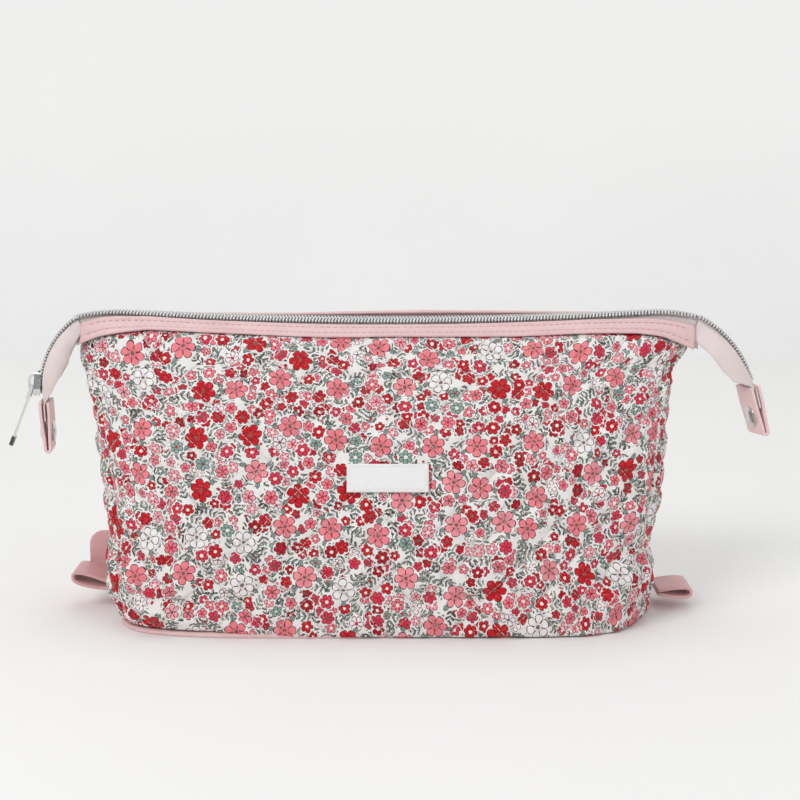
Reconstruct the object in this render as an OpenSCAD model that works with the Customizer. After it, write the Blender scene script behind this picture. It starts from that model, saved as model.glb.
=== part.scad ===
// Quilted makeup bag: a boxed pouch that narrows to a long zip, with stiff bands along the
// mouth, zip ends that droop past the corners into riveted tabs, and straps low on the ends.
// Millimetres, +X along the zip, +Y to the back, +Z up, origin under the middle of the base.

/* [Bag] */
// Width across the corners of the bands
top_w = 295; // [270:1:360]
// Width across the base
base_w = 254; // [220:1:300]
// Width that the walls steer to at half height
waist_w = 272; // [240:1:330]
// Width of the soft walls just under the bands
shoulder_w = 288; // [262:1:352]
// Depth across the base
base_d = 112; // [86:1:130]
// Height of the zip tape above the surface
zip_z = 140; // [116:0.1:168]
// How far the walls swell past the base
belly = 11; // [4:1:20]
// Depth across the walls just under the bands
neck_d = 25; // [22:0.5:32]
// Squareness of the plan at the base
plan_base = 5; // [3:0.1:7]
// Squareness of the plan at the bands
plan_top = 2.3; // [2:0.1:3]

/* [Layers] */
// Thickness of the quilted walls
quilt_t = 3; // [2:0.1:3.6]
// Thickness of the lining
lining_t = 0.8; // [0.6:0.1:1]
// Thickness of the base sheet
base_t = 2.4; // [1.6:0.1:3.2]
// Lip of the base sheet past the walls
base_lip = 0.6; // [0.5:0.1:1.5]
// Thickness of the straps and tabs
strap_t = 1.5; // [1.2:0.1:1.8]
// Gap between pieces that are sewn or folded together
fit = 0.3; // [0.2:0.05:0.4]
// Share of the half width at which the front and back walls meet the ends
seam_at = 0.955; // [0.93:0.005:0.97]

/* [Bands] */
// Thickness of a band
band_t = 1.4; // [1:0.1:1.6]
// Distance of a band's upper edge from the middle of the zip
mouth_y = 5.4; // [5:0.1:6]
// Fall of a band's lower edge below the zip tape, in the middle
hem_fall = 5.8; // [5:0.1:9]
// Further fall of a band's lower edge at its ends
hem_sag = 6; // [3:0.5:8]
// Distance of a band's lower edge from the middle plane, in the middle
hem_y = 12.5; // [10:0.5:15]
// Distance of a band's lower edge from the middle plane, at its ends
hem_end_y = 7; // [6.5:0.1:9]
// Fall of a band's upper edge below the zip tape
band_fall = 0.4; // [0:0.1:1]
// Thickness of the flexible stay inside a band
stay_t = 0.6; // [0.4:0.1:0.8]
// Length of a stay
stay_l = 280; // [200:1:290]

/* [Zip] */
// Pitch of the coil
coil_pitch = 1.55; // [1.4:0.05:1.8]
// Width of one coil turn along the zip
turn_w = 0.5; // [0.4:0.01:0.52]
// Height of the coil on the tape
coil_h = 2.2; // [1.6:0.1:2.6]
// Distance from the middle of the zip to the sewn side of a coil
coil_y = 3; // [2.6:0.1:3.2]
// Reach of a turn past the middle of the zip
turn_reach = 1; // [0.6:0.1:1.1]
// Thickness of the zip tape
tape_t = 0.8; // [0.5:0.1:0.9]
// Distance from the middle of the zip to the edge of a tape
tape_y = 1.4; // [1.3:0.1:1.6]
// Part of a free tape that lies flat beside the coil
tape_flat = 4.4; // [4.3:0.1:5]
// Droop of a free tape's edge
leaf_fall = 7; // [4:0.5:9]
// Reach of the drooping part of a free tape
leaf_reach = 7; // [4:0.5:9]

/* [Zip ends] */
// Radius of the bend of the left zip end
left_r = 42; // [36:1:48]
// Radius of the bend of the right zip end
right_r = 48; // [38:1:58]
// Slope of the left zip end at the corner
left_start = 36; // [30:1:38]
// Slope of the right zip end at the corner
right_start = 27; // [20:1:34]
// Slope of the left zip end at its tab
left_end_a = 93; // [84:1:95]
// Slope of the right zip end at its tab
right_end_a = 75; // [66:1:84]
// Twist of the right tab about its length
right_twist = -13; // [-30:1:0]
// Length of a tab
tab_l = 25; // [21:0.5:30]
// Width of a tab
tab_w = 18; // [15:0.5:22]
// Distance from the end of the bend to a tab
tab_gap = 3; // [2:0.5:5]
// Length of the zip end past the bend
tail_l = 12; // [9:0.5:13]
// Distance from a tab's mouth to its rivet
rivet_at = 15; // [14.5:0.5:17]
// Diameter of a rivet's cap
rivet_d = 10.5; // [8:0.5:12]
// Height of a rivet's dome
rivet_h = 1.6; // [1.2:0.1:2]
// Outer diameter of a rivet's socket
socket_d = 3.8; // [3.4:0.1:4.4]
// Diameter of a rivet's pin
pin_d = 2.4; // [2:0.1:2.6]

/* [Slider] */
// Length of the slider
slider_l = 11; // [10:0.1:12]
// Half width of the slider at its wide end
slider_y = 5.4; // [5.2:0.1:5.6]
// Thickness of a slider plate
plate_t = 1.1; // [0.9:0.1:1.3]
// Room between the coil and the upper plate
slider_room = 0.7; // [0.6:0.1:1]
// Rise of the bail above the upper plate
bail_h = 3.5; // [3.2:0.1:4.2]
// Width of the bail
bail_w = 2.2; // [1.8:0.1:2.6]
// Length of the pull from its pivot
pull_l = 31; // [24:1:36]
// Width of the pull
pull_w = 3; // [2.8:0.1:4]
// Angle between the pull and the slider
pull_a = 17.3; // [6:0.1:20]

/* [Straps] */
// Width of the strap on the left end and of the loop on the right end
strap_w = 22; // [16:1:26]
// Length of the loop on the right end
loop_l = 18; // [14:0.5:24]
// Steer of the loop's halves away from its middle
loop_swell = 4.8; // [4.6:0.1:6]
// Place of the seam of loop and strap up the ends, from base to band
loop_v = 0.05; // [0.05:0.005:0.1]
// Place of the top of the left strap's upright part, from base to band
strap_v = 0.22; // [0.18:0.005:0.3]
// Rounding of the upright part's outer corner
strap_r = 7; // [4:0.5:9]

/* [Label] */
// Width of the bare label
label_w = 37; // [28:1:46]
// Height of the bare label
label_h = 13; // [10:0.5:16]
// Thickness of the bare label
label_t = 1.1; // [0.8:0.1:1.4]
// Place of the label up the wall, from base to band
label_v = 0.51; // [0.4:0.01:0.6]

/* [Hidden] */
$fn = 48;

floral = "#e6c9c6";
leatherette = "#e4c3c3";
cotton = "#f1e9e6";
tape_pink = "#ead2d2";
silver = "#c9c9cb";
label_white = "#f0eeee";

// Walls: both start just above the base sheet and end below the bands
wall_z = base_t + fit;
wall_top = zip_z - hem_fall - fit;
lower_rise = 37.5;
upper_fall = 31;
upper_steer = -1;
wall_rows = 16;
wall_cols = 30;
end_cols = 10;
thin_rows = 8;
thin_cols = 16;
lining_in = quilt_t + 1.5 * fit;
lining_lo = 0.04;
lining_hi = 0.96;

// Bands
band_half = top_w / 2;
band_cols = 40;
stay_from = 0.35;
stay_to = 0.75;
tape_to = 0.85;
tape_room = 1;

// Coils of the straight run
coil_end = 1;
coil_gap = 0.1;
coil_n = floor((top_w - 2 * coil_end - coil_pitch) / coil_pitch);
coil_half = coil_n * coil_pitch / 2;

// Zip ends: the bends start a little past the corners, and these run along the bend
start_gap = 0.5;
slider_rest = left_end_a - turn(slider_l / 2, left_r);
coil_stop = 1.8;
tab_inner = tape_t + 2 * fit;
tab_thick = tab_inner + 2 * strap_t;
tail_inset = 1;
turn_root = 0.1;
pin_room = 0.2;
socket_roof = 0.8;

// Height of the lower face of the slider's upper plate above the tape
plate_z = coil_gap + coil_h + slider_room;
under_room = 1;
under_z = tape_t + under_room;
flange_t = 0.6;
flange_z = 0.8;
divider_room = 0.4;
divider_y = tape_y - divider_room;
divider_l = 2.7;
divider_set = 0.5;
pivot_rise = 1.3;
pivot_z = plate_z + plate_t + pivot_rise;
pivot_x = 1.8;
bar_d = 1.4;

// Upper half of a loop, from its root to its tip
loop_steps = 14;
loop_steer = [[0, strap_t / 2], [loop_l / 3, loop_swell], [loop_l, loop_swell * 1.5], [loop_l, 0]];
loop_path = curve(loop_steer, loop_steps);

function bez(c, v) =
  c[0] * pow(1 - v, 3) + 3 * c[1] * v * pow(1 - v, 2) + 3 * c[2] * v * v * (1 - v) + c[3] * pow(v, 3);
function half_w(v) = bez([base_w, waist_w, waist_w, shoulder_w] / 2, v);
function half_d(v) = bez([base_d / 2, base_d / 2 + belly, base_d / 2 + upper_steer, neck_d / 2], v);
function rise(v) = bez([wall_z, wall_z + lower_rise, zip_z - upper_fall, wall_top], v);
function plan(v) = plan_base + (plan_top - plan_base) * v;
// The other side of a superellipse of unit size
function round_off(f, n) = pow(max(0, 1 - pow(abs(f), n)), 1 / n);
function height(v, f) = rise(v) - hem_sag * pow(v, 3) * hem_share(half_w(v) * f);

// Point on the front wall: f runs across, v runs up, inset runs into the bag
function front_pt(f, v, inset) = [
  (half_w(v) - inset) * f,
  -(half_d(v) - inset) * round_off(f, plan(v)),
  height(v, f)
];
// Point on the right end: g runs from the front seam to the back seam
function end_pt(g, v, inset) =
  let (
    d = half_d(v) - inset,
    y = (d * round_off(seam_at, plan(v)) - fit) * g,
    f = round_off(y / d, plan(v))
  )
  [(half_w(v) - inset) * f, y, height(v, f)];

function front_ring(f, lo, hi, rows, from, to) = [
  for (i = [0:rows]) front_pt(f, lo + (hi - lo) * i / rows, from),
  for (i = [rows:-1:0]) front_pt(f, lo + (hi - lo) * i / rows, to)
];
function end_ring(g, lo, hi, rows, from, to) = [
  for (i = [0:rows]) end_pt(g, lo + (hi - lo) * i / rows, from),
  for (i = [rows:-1:0]) end_pt(g, lo + (hi - lo) * i / rows, to)
];

// Points of a band's section at x: along runs down the band, deep runs into the bag
function hem_share(x) = pow(x / band_half, 2);
band_top = [-mouth_y, zip_z - band_fall];
function band_hem(x) = [
  -hem_y + (hem_y - hem_end_y) * hem_share(x),
  zip_z - hem_fall - hem_sag * hem_share(x)
];
function band_pt(x, along, deep) =
  let (
    run = band_hem(x) - band_top,
    unit = run / norm(run),
    p = band_top + along * run + deep * [-unit[1], unit[0]]
  )
  [x, p[0], p[1]];
function band_ring(x, from, to, near, far) =
  [band_pt(x, from, near), band_pt(x, to, near), band_pt(x, to, far), band_pt(x, from, far)];
// How far down the band a point that deep in it lies level with the hem
function level(x, deep) =
  let (run = band_hem(x) - band_top)
  1 - deep * run[0] / norm(run) / run[1];

// Place out from the middle of an end, in its plane of symmetry
function on_end(v, out) = [end_pt(0, v, 0)[0] + out, end_pt(0, v, 0)[2]];

// Outline of a strip of thickness t along a path in the plane
function side(path, i) =
  let (
    a = path[max(i - 1, 0)],
    b = path[min(i + 1, len(path) - 1)],
    d = (b - a) / norm(b - a)
  )
  [-d[1], d[0]];
function strip(path, t) = [
  for (i = [0:len(path) - 1]) path[i] + t / 2 * side(path, i),
  for (i = [len(path) - 1:-1:0]) path[i] - t / 2 * side(path, i)
];
// Power of a size that keeps its sign
function bow(f, n) = sign(f) * pow(abs(f), n);
// Angle that a length along a bend turns through
function turn(l, r) = l / r * 180 / PI;
function curve(c, n) = [for (i = [0:n]) [bez([for (p = c) p[0]], i / n), bez([for (p = c) p[1]], i / n)]];

// Solid through rings that run out along one face and back along the other
module skin(rings) {
  m = len(rings[0]);
  n = len(rings);
  points = [for (ring = rings) each ring];
  sides = [
    for (i = [0:n - 2], j = [0:m - 1])
      let (a = i * m + j, b = i * m + (j + 1) % m)
      each [[a, b, b + m], [a, b + m, a + m]]
  ];
  last = (n - 1) * m;
  caps = [
    for (j = [0:m / 2 - 2])
      let (a = j, b = j + 1, c = m - 2 - j, d = m - 1 - j)
      each [
        [a, d, c],
        [a, c, b],
        [last + a, last + b, last + c],
        [last + a, last + c, last + d]
      ]
  ];
  polyhedron(points, concat(sides, caps), convexity = 10);
}

// Loop of a strip that leaves its root and comes back to it
module loop() {
  back = [for (i = [loop_steps - 1:-1:0]) [loop_path[i][0], -loop_path[i][1]]];
  linear_extrude(strap_w)
    polygon(strip(concat(loop_path, back), strap_t));
  cylinder(h = strap_w, r = strap_t);
}

module wall() {
  skin([
    for (i = [0:wall_cols])
      front_ring(seam_at * sin(180 * i / wall_cols - 90), 0, 1, wall_rows, 0, quilt_t)
  ]);
}

module wall_lining() {
  skin([
    for (i = [0:thin_cols])
      let (f = seam_at * sin(180 * i / thin_cols - 90))
      front_ring(f, lining_lo, lining_hi, thin_rows, lining_in, lining_in + lining_t)
  ]);
}

module end_wall() {
  skin([for (i = [0:end_cols]) end_ring(2 * i / end_cols - 1, 0, 1, wall_rows, 0, quilt_t)]);
}

module end_wall_lining() {
  skin([
    for (i = [0:end_cols / 2])
      end_ring(4 * i / end_cols - 1, lining_lo, lining_hi, thin_rows, lining_in, lining_in + lining_t)
  ]);
}

// Outline of the base, grown past the walls or drawn into them
module base_outline(grow) {
  w = base_w / 2 + grow;
  d = base_d / 2 + grow;
  polygon([
    for (a = [0:5:355])
      [
        w * bow(cos(a), 2 / plan_base),
        d * bow(sin(a), 2 / plan_base)
      ]
  ]);
}

module band() {
  skin([
    for (i = [0:band_cols])
      let (x = band_half * (2 * i / band_cols - 1))
      [band_pt(x, 0, 0), band_pt(x, 1, 0), band_pt(x, level(x, band_t), band_t), band_pt(x, 0, band_t)]
  ]);
}

module stay() {
  near = band_t + fit;
  skin([
    for (i = [0:band_cols])
      band_ring(stay_l / 2 * (2 * i / band_cols - 1), stay_from, stay_to, near, near + stay_t)
  ]);
}

module tape() {
  near = band_t + stay_t + tape_room;
  skin([
    for (i = [0:band_cols])
      let (x = (band_half - coil_end) * (2 * i / band_cols - 1))
      [
        [x, -tape_y, zip_z],
        band_pt(x, tape_to, near),
        band_pt(x, tape_to, near + tape_t),
        [x, -tape_y, zip_z - tape_t]
      ]
  ]);
}

// One half of the coil: a sewn cord with a row of turns that reach between those of the other half
module coil() {
  translate([0, 0, zip_z + coil_gap])
    linear_extrude(coil_h)
      polygon([
        [-coil_half, -coil_y],
        [coil_half, -coil_y],
        [coil_half, -tape_y],
        for (i = [coil_n - 1:-1:0])
          let (x = -coil_half + (i + 0.25) * coil_pitch - turn_w / 2)
          each [[x + turn_w, -tape_y], [x + turn_w, turn_reach], [x, turn_reach], [x, -tape_y]],
        [-coil_half, -tape_y]
      ]);
}

// Frame on the bend of a zip end: x runs down the zip, z points out of the bend
module on_bend(r, start, a) {
  translate([band_half + fit - r * sin(start), 0, zip_z - r * cos(start)])
    rotate([0, a, 0])
      translate([0, 0, r])
        children();
}

// Sweep of a profile (radius, depth) round the bend of a zip end
module round_bend(r, start, from, to) {
  translate([band_half + fit - r * sin(start), 0, zip_z - r * cos(start)])
    rotate([90, 0, 0])
      rotate([0, 0, 90 - to])
        rotate_extrude(angle = to - from, $fn = 96)
          children();
}

// Free tapes of a zip end, cut off square at the corner of the bands
module wing_tape(r, start, end, twist) {
  difference() {
    round_bend(r, start, start + turn(start_gap, r), end)
      for (m = [0, 1])
        mirror([0, m])
          polygon([
            [r, tape_y],
            [r, tape_y + tape_flat],
            [r - leaf_fall, tape_y + tape_flat + leaf_reach],
            [r - leaf_fall - tape_t, tape_y + tape_flat + leaf_reach - tape_t / 2],
            [r - tape_t, tape_y + tape_flat - tape_t / 2],
            [r - tape_t, tape_y]
          ]);
    translate([0, -zip_z / 2, 0])
      cube([band_half + 2 * fit, zip_z, zip_z]);
  }
  on_bend(r, start, end)
    rotate([twist, 0, 0])
      translate([0, -tab_w / 2 + tail_inset, -tape_t])
        cube([tail_l, tab_w - 2 * tail_inset, tape_t]);
}

module wing_coil(r, start, end) {
  step = turn(coil_pitch, r);
  first = start + turn(start_gap, r);
  turns = floor((end - first) / step) - 1;
  for (m = [0, 1])
    mirror([0, m, 0]) {
      round_bend(r, start, first, first + (turns + 1) * step)
        translate([r + coil_gap, tape_y])
          square([coil_h, coil_y - tape_y]);
      for (i = [0:turns])
        on_bend(r, start, first + (i + 0.25 + m / 2) * step)
          translate([-turn_w / 2, -tape_y - turn_root, coil_gap])
            cube([turn_w, tape_y + turn_root + turn_reach, coil_h]);
    }
}

// Tab: a strip folded round the zip end, with a hole for its rivet through both leaves
module tab(r, start, end, twist) {
  on_bend(r, start, end)
    rotate([twist, 0, 0])
      translate([tab_gap, 0, -tape_t / 2])
        difference() {
          union() {
            translate([0, -tab_w / 2, -tab_thick / 2])
              cube([tab_l - tab_thick / 2, tab_w, tab_thick]);
            translate([tab_l - tab_thick / 2, tab_w / 2, 0])
              rotate([90, 0, 0])
                cylinder(h = tab_w, d = tab_thick);
          }
          translate([-1, -tab_w, -tab_inner / 2])
            cube([tab_l - tab_thick / 2 + 1, 2 * tab_w, tab_inner]);
          translate([tab_l - tab_thick / 2, tab_w, 0])
            rotate([90, 0, 0])
              cylinder(h = 2 * tab_w, d = tab_inner);
          translate([rivet_at, 0, -tab_thick])
            cylinder(h = 2 * tab_thick, d = socket_d + fit);
        }
}

module at_rivet(r, start, end, twist) {
  on_bend(r, start, end)
    rotate([twist, 0, 0])
      translate([tab_gap + rivet_at, 0, -tape_t / 2])
        children();
}

// Section of a domed cap, seen from its axis
module dome() {
  ball_r = (rivet_d * rivet_d / 4 + rivet_h * rivet_h) / (2 * rivet_h);
  intersection() {
    translate([0, rivet_h - ball_r])
      circle(r = ball_r, $fn = 96);
    square([rivet_d / 2, rivet_h]);
  }
}

module rivet_cap() {
  translate([0, 0, tab_thick / 2])
    rotate_extrude()
      dome();
  translate([0, 0, -tab_thick / 2 + fit])
    difference() {
      cylinder(h = tab_thick - fit, d = socket_d);
      translate([0, 0, -1])
        cylinder(h = tab_thick - fit + 1 - socket_roof, d = pin_d + pin_room);
    }
}

module rivet_post() {
  translate([0, 0, -tab_thick / 2])
    rotate([180, 0, 0])
      rotate_extrude()
        dome();
  translate([0, 0, -tab_thick / 2])
    cylinder(h = tab_thick - socket_roof - 2 * pin_room, d = pin_d);
}

// Outline of the slider: wide where the halves of the zip come in, drawn in where they leave
module slider_outline(inset) {
  taper = 1;
  ease = 0.3;
  corner = 0.8;
  front = slider_l / 2;
  wide = slider_y - inset;
  rear = wide - taper;
  half = [
    [-front, rear - ease],
    [-front + 2 * ease, rear],
    [-front / 6, rear + ease],
    [front / 2.5, wide],
    [front - corner, wide],
    [front, wide - corner]
  ];
  polygon(concat(half, [for (i = [len(half) - 1:-1:0]) [half[i][0], -half[i][1]]]));
}

module at_slider() {
  mirror([1, 0, 0])
    on_bend(left_r, left_start, slider_rest)
      children();
}

module base_panel() {
  color(leatherette)
    linear_extrude(base_t)
      base_outline(base_lip);
}

module left_end() {
  color(floral)
    mirror([1, 0, 0])
      end_wall();
}

module right_end() {
  color(floral)
    end_wall();
}

module floor_lining() {
  color(cotton)
    translate([0, 0, wall_z])
      linear_extrude(lining_t)
        base_outline(-lining_in - lining_t - fit);
}

module left_end_lining() {
  color(cotton)
    mirror([1, 0, 0])
      end_wall_lining();
}

module right_end_lining() {
  color(cotton)
    end_wall_lining();
}

// Side strap: folds into a loop like the right one, then its upper leaf turns up along the back edge
module left_handle() {
  steps = 8;
  root = on_end(loop_v, strap_t + fit);
  leaf = [for (i = [2:loop_steps - 3]) root + loop_path[i]];
  last = leaf[len(leaf) - 1];
  top = on_end(strap_v, fit);
  edge = [for (i = [steps:-1:0]) on_end(loop_v + (strap_v - loop_v) * i / steps, fit)];
  inner = [for (p = edge) if (p[1] > leaf[0][1]) p];
  corner = [for (a = [0:15:90]) [last[0], top[1]] + strap_r * [cos(a) - 1, sin(a) - 1]];
  color(leatherette)
    mirror([1, 0, 0])
      translate([0, strap_w / 2, 0])
        rotate([90, 0, 0]) {
          translate([root[0], root[1], 0])
            loop();
          linear_extrude(strap_t)
            polygon(concat(leaf, corner, inner));
        }
}

module front_panel() {
  color(floral)
    wall();
}

module front_lining() {
  color(cotton)
    wall_lining();
}

module front_band() {
  color(leatherette)
    band();
}

module front_stay() {
  color(silver)
    stay();
}

module front_tape() {
  color(tape_pink)
    tape();
}

module front_coil() {
  color(silver)
    coil();
}

module label() {
  near = 0.03;
  below = front_pt(0, label_v - near, 0);
  above = front_pt(0, label_v + near, 0);
  lean = atan2(above[1] - below[1], above[2] - below[2]);
  color(label_white)
    translate(front_pt(0, label_v, 0))
      rotate([-lean, 0, 0])
        translate([-label_w / 2, -label_t - fit, -label_h / 2])
          cube([label_w, label_t, label_h]);
}

module back_panel() {
  color(floral)
    mirror([0, 1, 0])
      wall();
}

module back_lining() {
  color(cotton)
    mirror([0, 1, 0])
      wall_lining();
}

module back_band() {
  color(leatherette)
    mirror([0, 1, 0])
      band();
}

module back_stay() {
  color(silver)
    mirror([0, 1, 0])
      stay();
}

module back_tape() {
  color(tape_pink)
    mirror([0, 1, 0])
      tape();
}

module back_coil() {
  color(silver)
    rotate([0, 0, 180])
      coil();
}

module left_wing_tape() {
  color(tape_pink)
    mirror([1, 0, 0])
      wing_tape(left_r, left_start, left_end_a, 0);
}

module left_wing_coil() {
  color(silver)
    mirror([1, 0, 0])
      wing_coil(left_r, left_start, slider_rest + turn(coil_stop, left_r));
}

module left_tab() {
  color(leatherette)
    mirror([1, 0, 0])
      tab(left_r, left_start, left_end_a, 0);
}

module left_rivet_cap() {
  color(silver)
    mirror([1, 0, 0])
      at_rivet(left_r, left_start, left_end_a, 0)
        rivet_cap();
}

module left_rivet_post() {
  color(silver)
    mirror([1, 0, 0])
      at_rivet(left_r, left_start, left_end_a, 0)
        rivet_post();
}

module right_wing_tape() {
  color(tape_pink)
    wing_tape(right_r, right_start, right_end_a, right_twist);
}

module right_wing_coil() {
  color(silver)
    wing_coil(right_r, right_start, right_end_a);
}

module right_tab() {
  color(leatherette)
    tab(right_r, right_start, right_end_a, right_twist);
}

module right_rivet_cap() {
  color(silver)
    at_rivet(right_r, right_start, right_end_a, right_twist)
      rivet_cap();
}

module right_rivet_post() {
  color(silver)
    at_rivet(right_r, right_start, right_end_a, right_twist)
      rivet_post();
}

// Slider: two plates on a divider, with side flanges that leave slots for the tapes
module slider() {
  color(silver)
    at_slider() {
      translate([0, 0, plate_z])
        linear_extrude(plate_t)
          slider_outline(0);
      translate([0, 0, flange_z])
        linear_extrude(plate_z - flange_z)
          difference() {
            slider_outline(0);
            translate([-slider_l, 0])
              square(2 * slider_l);
            mirror([0, 1])
              slider_outline(flange_t);
          }
      translate([0, 0, flange_z])
        linear_extrude(plate_z - flange_z)
          difference() {
            slider_outline(0);
            translate([-slider_l, -2 * slider_l])
              square(2 * slider_l);
            slider_outline(flange_t);
          }
      translate([0, 0, -under_z - plate_t])
        linear_extrude(plate_t)
          slider_outline(0);
      translate([slider_l / 2 - divider_set - divider_l, -divider_y, -under_z])
        cube([divider_l, 2 * divider_y, under_z + plate_z]);
    }
}

// Bail: an arch over the upper plate that holds the pull
module slider_bail() {
  span = 4;
  wire = 1;
  square_off = 0.55;
  color(silver)
    at_slider()
      translate([0, bail_w / 2, plate_z + plate_t])
        rotate([90, 0, 0])
          linear_extrude(bail_w)
            polygon([
              for (a = [0:10:180]) [span * bow(cos(a), square_off), bail_h * bow(sin(a), square_off)],
              for (a = [180:-10:0])
                [(span - wire) * bow(cos(a), square_off), (bail_h - wire) * bow(sin(a), square_off)]
            ]);
}

// Pull: a flat bar on two arms and a cross bar under the bail, with a thicker grip at its end
module pull() {
  arm_y = bail_w / 2 + 1;
  arm_w = 1.2;
  neck = 5;
  grip_l = 5;
  bar_t = 0.9;
  shoulder = 1.5;
  neck_l = 1.6;
  grip_out = 0.3;
  grip_up = 0.4;
  color(silver)
    at_slider()
      translate([pivot_x, 0, pivot_z])
        rotate([0, -pull_a, 0]) {
          translate([0, arm_y + arm_w, 0])
            rotate([90, 0, 0])
              cylinder(h = 2 * (arm_y + arm_w), d = bar_d);
          for (m = [0, 1])
            mirror([0, m, 0])
              translate([0, arm_y, -bar_d / 2])
                cube([neck + 1, arm_w, bar_d]);
          translate([neck, -pull_w / 2 - shoulder, -bar_t / 2])
            cube([neck_l, pull_w + 2 * shoulder, bar_t]);
          translate([neck, -pull_w / 2, -bar_t / 2])
            cube([pull_l - neck - grip_l / 2, pull_w, bar_t]);
          translate([pull_l - grip_l, -pull_w / 2 - grip_out, -bar_t / 2 - grip_up])
            cube([grip_l - pull_w / 2, pull_w + 2 * grip_out, bar_t + 2 * grip_up]);
          translate([pull_l - pull_w / 2, 0, -bar_t / 2 - grip_up])
            cylinder(h = bar_t + 2 * grip_up, d = pull_w + 2 * grip_out);
        }
}

// Loop on the right end: a strip folded in two, with its ends together in the seam
module right_loop() {
  root = on_end(loop_v, strap_t + fit);
  color(leatherette)
    translate([root[0], strap_w / 2, root[1]])
      rotate([90, 0, 0])
        loop();
}

base_panel();
left_end();
right_end();
floor_lining();
left_end_lining();
right_end_lining();
left_handle();
front_panel();
front_lining();
front_band();
front_stay();
front_tape();
front_coil();
label();
back_panel();
back_lining();
back_band();
back_stay();
back_tape();
back_coil();
left_wing_tape();
left_wing_coil();
left_tab();
left_rivet_cap();
left_rivet_post();
right_wing_tape();
right_wing_coil();
right_tab();
right_rivet_cap();
right_rivet_post();
slider();
slider_bail();
pull();
right_loop();
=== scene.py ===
"""Quilted makeup bag: cloth, straps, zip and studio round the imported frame. Sizes are in mm."""
import math

import bpy
import numpy as np
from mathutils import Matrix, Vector


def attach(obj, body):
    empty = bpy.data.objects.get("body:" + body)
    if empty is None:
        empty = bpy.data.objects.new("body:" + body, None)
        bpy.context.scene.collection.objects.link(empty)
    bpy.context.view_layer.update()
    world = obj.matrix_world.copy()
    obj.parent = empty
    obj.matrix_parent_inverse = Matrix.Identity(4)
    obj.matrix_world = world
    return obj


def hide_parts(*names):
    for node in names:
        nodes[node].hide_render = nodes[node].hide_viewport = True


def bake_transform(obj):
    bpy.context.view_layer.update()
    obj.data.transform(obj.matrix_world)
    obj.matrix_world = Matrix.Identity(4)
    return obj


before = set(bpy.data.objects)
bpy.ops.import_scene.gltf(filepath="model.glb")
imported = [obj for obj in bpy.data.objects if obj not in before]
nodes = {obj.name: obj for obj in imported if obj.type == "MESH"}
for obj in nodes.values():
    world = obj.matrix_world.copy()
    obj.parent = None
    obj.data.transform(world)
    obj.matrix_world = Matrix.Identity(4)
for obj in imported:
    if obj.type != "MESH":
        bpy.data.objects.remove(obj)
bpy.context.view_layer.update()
rng = np.random.default_rng(11)

MM = 0.001
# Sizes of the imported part
BASE_W, WAIST_W, SHOULDER_W = 254.0, 272.0, 288.0
BASE_D, BELLY, NECK_D, BASE_LIP = 112.0, 11.0, 25.0, 0.6
ZIP_Z, WALL_Z, WALL_TOP = 140.0, 2.7, 133.9
PLAN_BASE, PLAN_TOP, SEAM_AT, FIT = 5.0, 2.3, 0.955, 0.3
HALF, HEM_FALL, HEM_SAG, HEM_Y, HEM_END_Y, MOUTH_Y = 147.5, 5.8, 6.0, 12.5, 7.0, 5.4
TAPE_T, TAPE_Y, PITCH, QUILT = 0.8, 1.4, 1.55, 19.0
STRAP_T, STRAP_W, LOOP_V, STRAP_V, STRAP_R = 1.5, 22.0, 0.05, 0.243, 7.0
TAB_L, TAB_W, TAIL_L, RIVET_AT, RIVET_D = 25.0, 18.0, 12.0, 15.0, 10.5
LABEL_X, LABEL_Z, LABEL_V, LABEL_UP, LABEL_ROOM = 18.5, 6.5, 0.51, 70.5, 0.5
PULL_AT, PULL_WAY = (-170.51, 0.0, 107.95), (-0.371, 0.0, -0.928)
# Radius, first and last angle and twist of each zip end, and the gap between its leaves and its tab
BENDS = {"left": (42.0, 36.0, 93.0, 5.0), "right": (48.0, 27.0, 75.0, -13.0)}
TAB_GAP = {"left": 2.8, "right": 1.2}
# The standing bag: sag of the mouth, its lean to the front, rise of its crests, and where they end
SAG, LEAN, CREST, CREST_END = 5.4, 0.3, 3.95, 122.0
# How far its lower corners are drawn in, its base sheet on the right too, and how far its foot slumps
TUCK_LEFT, TUCK_RIGHT, BASE_IN, SLUMP_OUT, SLUMP_DOWN = 1.0, 9.5, 2.6, 1.7, 2.2
# Heights, and how far the left side stands out and the right side stands in there
SIDE_Z = (0, 10, 18, 25, 33, 45, 64, 83, 102, 118, 126, 132)
LEFT_OUT = (0.4, 1.8, 1.8, 0.6, -0.4, -1.3, -1.8, 0.8, 2.0, 4.8, 3.8, 1.2)
RIGHT_IN = (0, 3.4, 5.8, 7.0, 10.4, 8.0, 6.8, 5.8, 5.2, 4.6, 0.6, 0)
# Places along the mouth, how far the bands' hem is drawn up there, and the rise of their upper edge
HEM_X = (-147.5, -135, -112, -85, -60, -30, 0, 60, 95, 118, 130, 138, 147.5)
HEM_UP = (-0.4, 2.6, 4.9, 3.6, 2.7, 1.6, 2.1, 1.9, 3.2, 3.2, 2.2, 0, -2.0)
EDGE_UP = (-2.4, -0.3, 1.2, 1.1, 1.2, 1.2, 1.2, 1.2, 0.8, -0.3, -1.4, -2.2, -3.4)


# The bag's surface

def bez(c, v):
    return c[0] * (1 - v) ** 3 + 3 * c[1] * v * (1 - v) ** 2 + 3 * c[2] * v * v * (1 - v) + c[3] * v ** 3


def half_w(v):
    return bez([BASE_W / 2, WAIST_W / 2, WAIST_W / 2, SHOULDER_W / 2], v)


def half_d(v):
    return bez([BASE_D / 2, BASE_D / 2 + BELLY, BASE_D / 2 - 1, NECK_D / 2], v)


def plan(v):
    return PLAN_BASE + (PLAN_TOP - PLAN_BASE) * v


def round_off(f, n):
    return np.maximum(0, 1 - np.abs(f) ** n) ** (1 / n)


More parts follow.
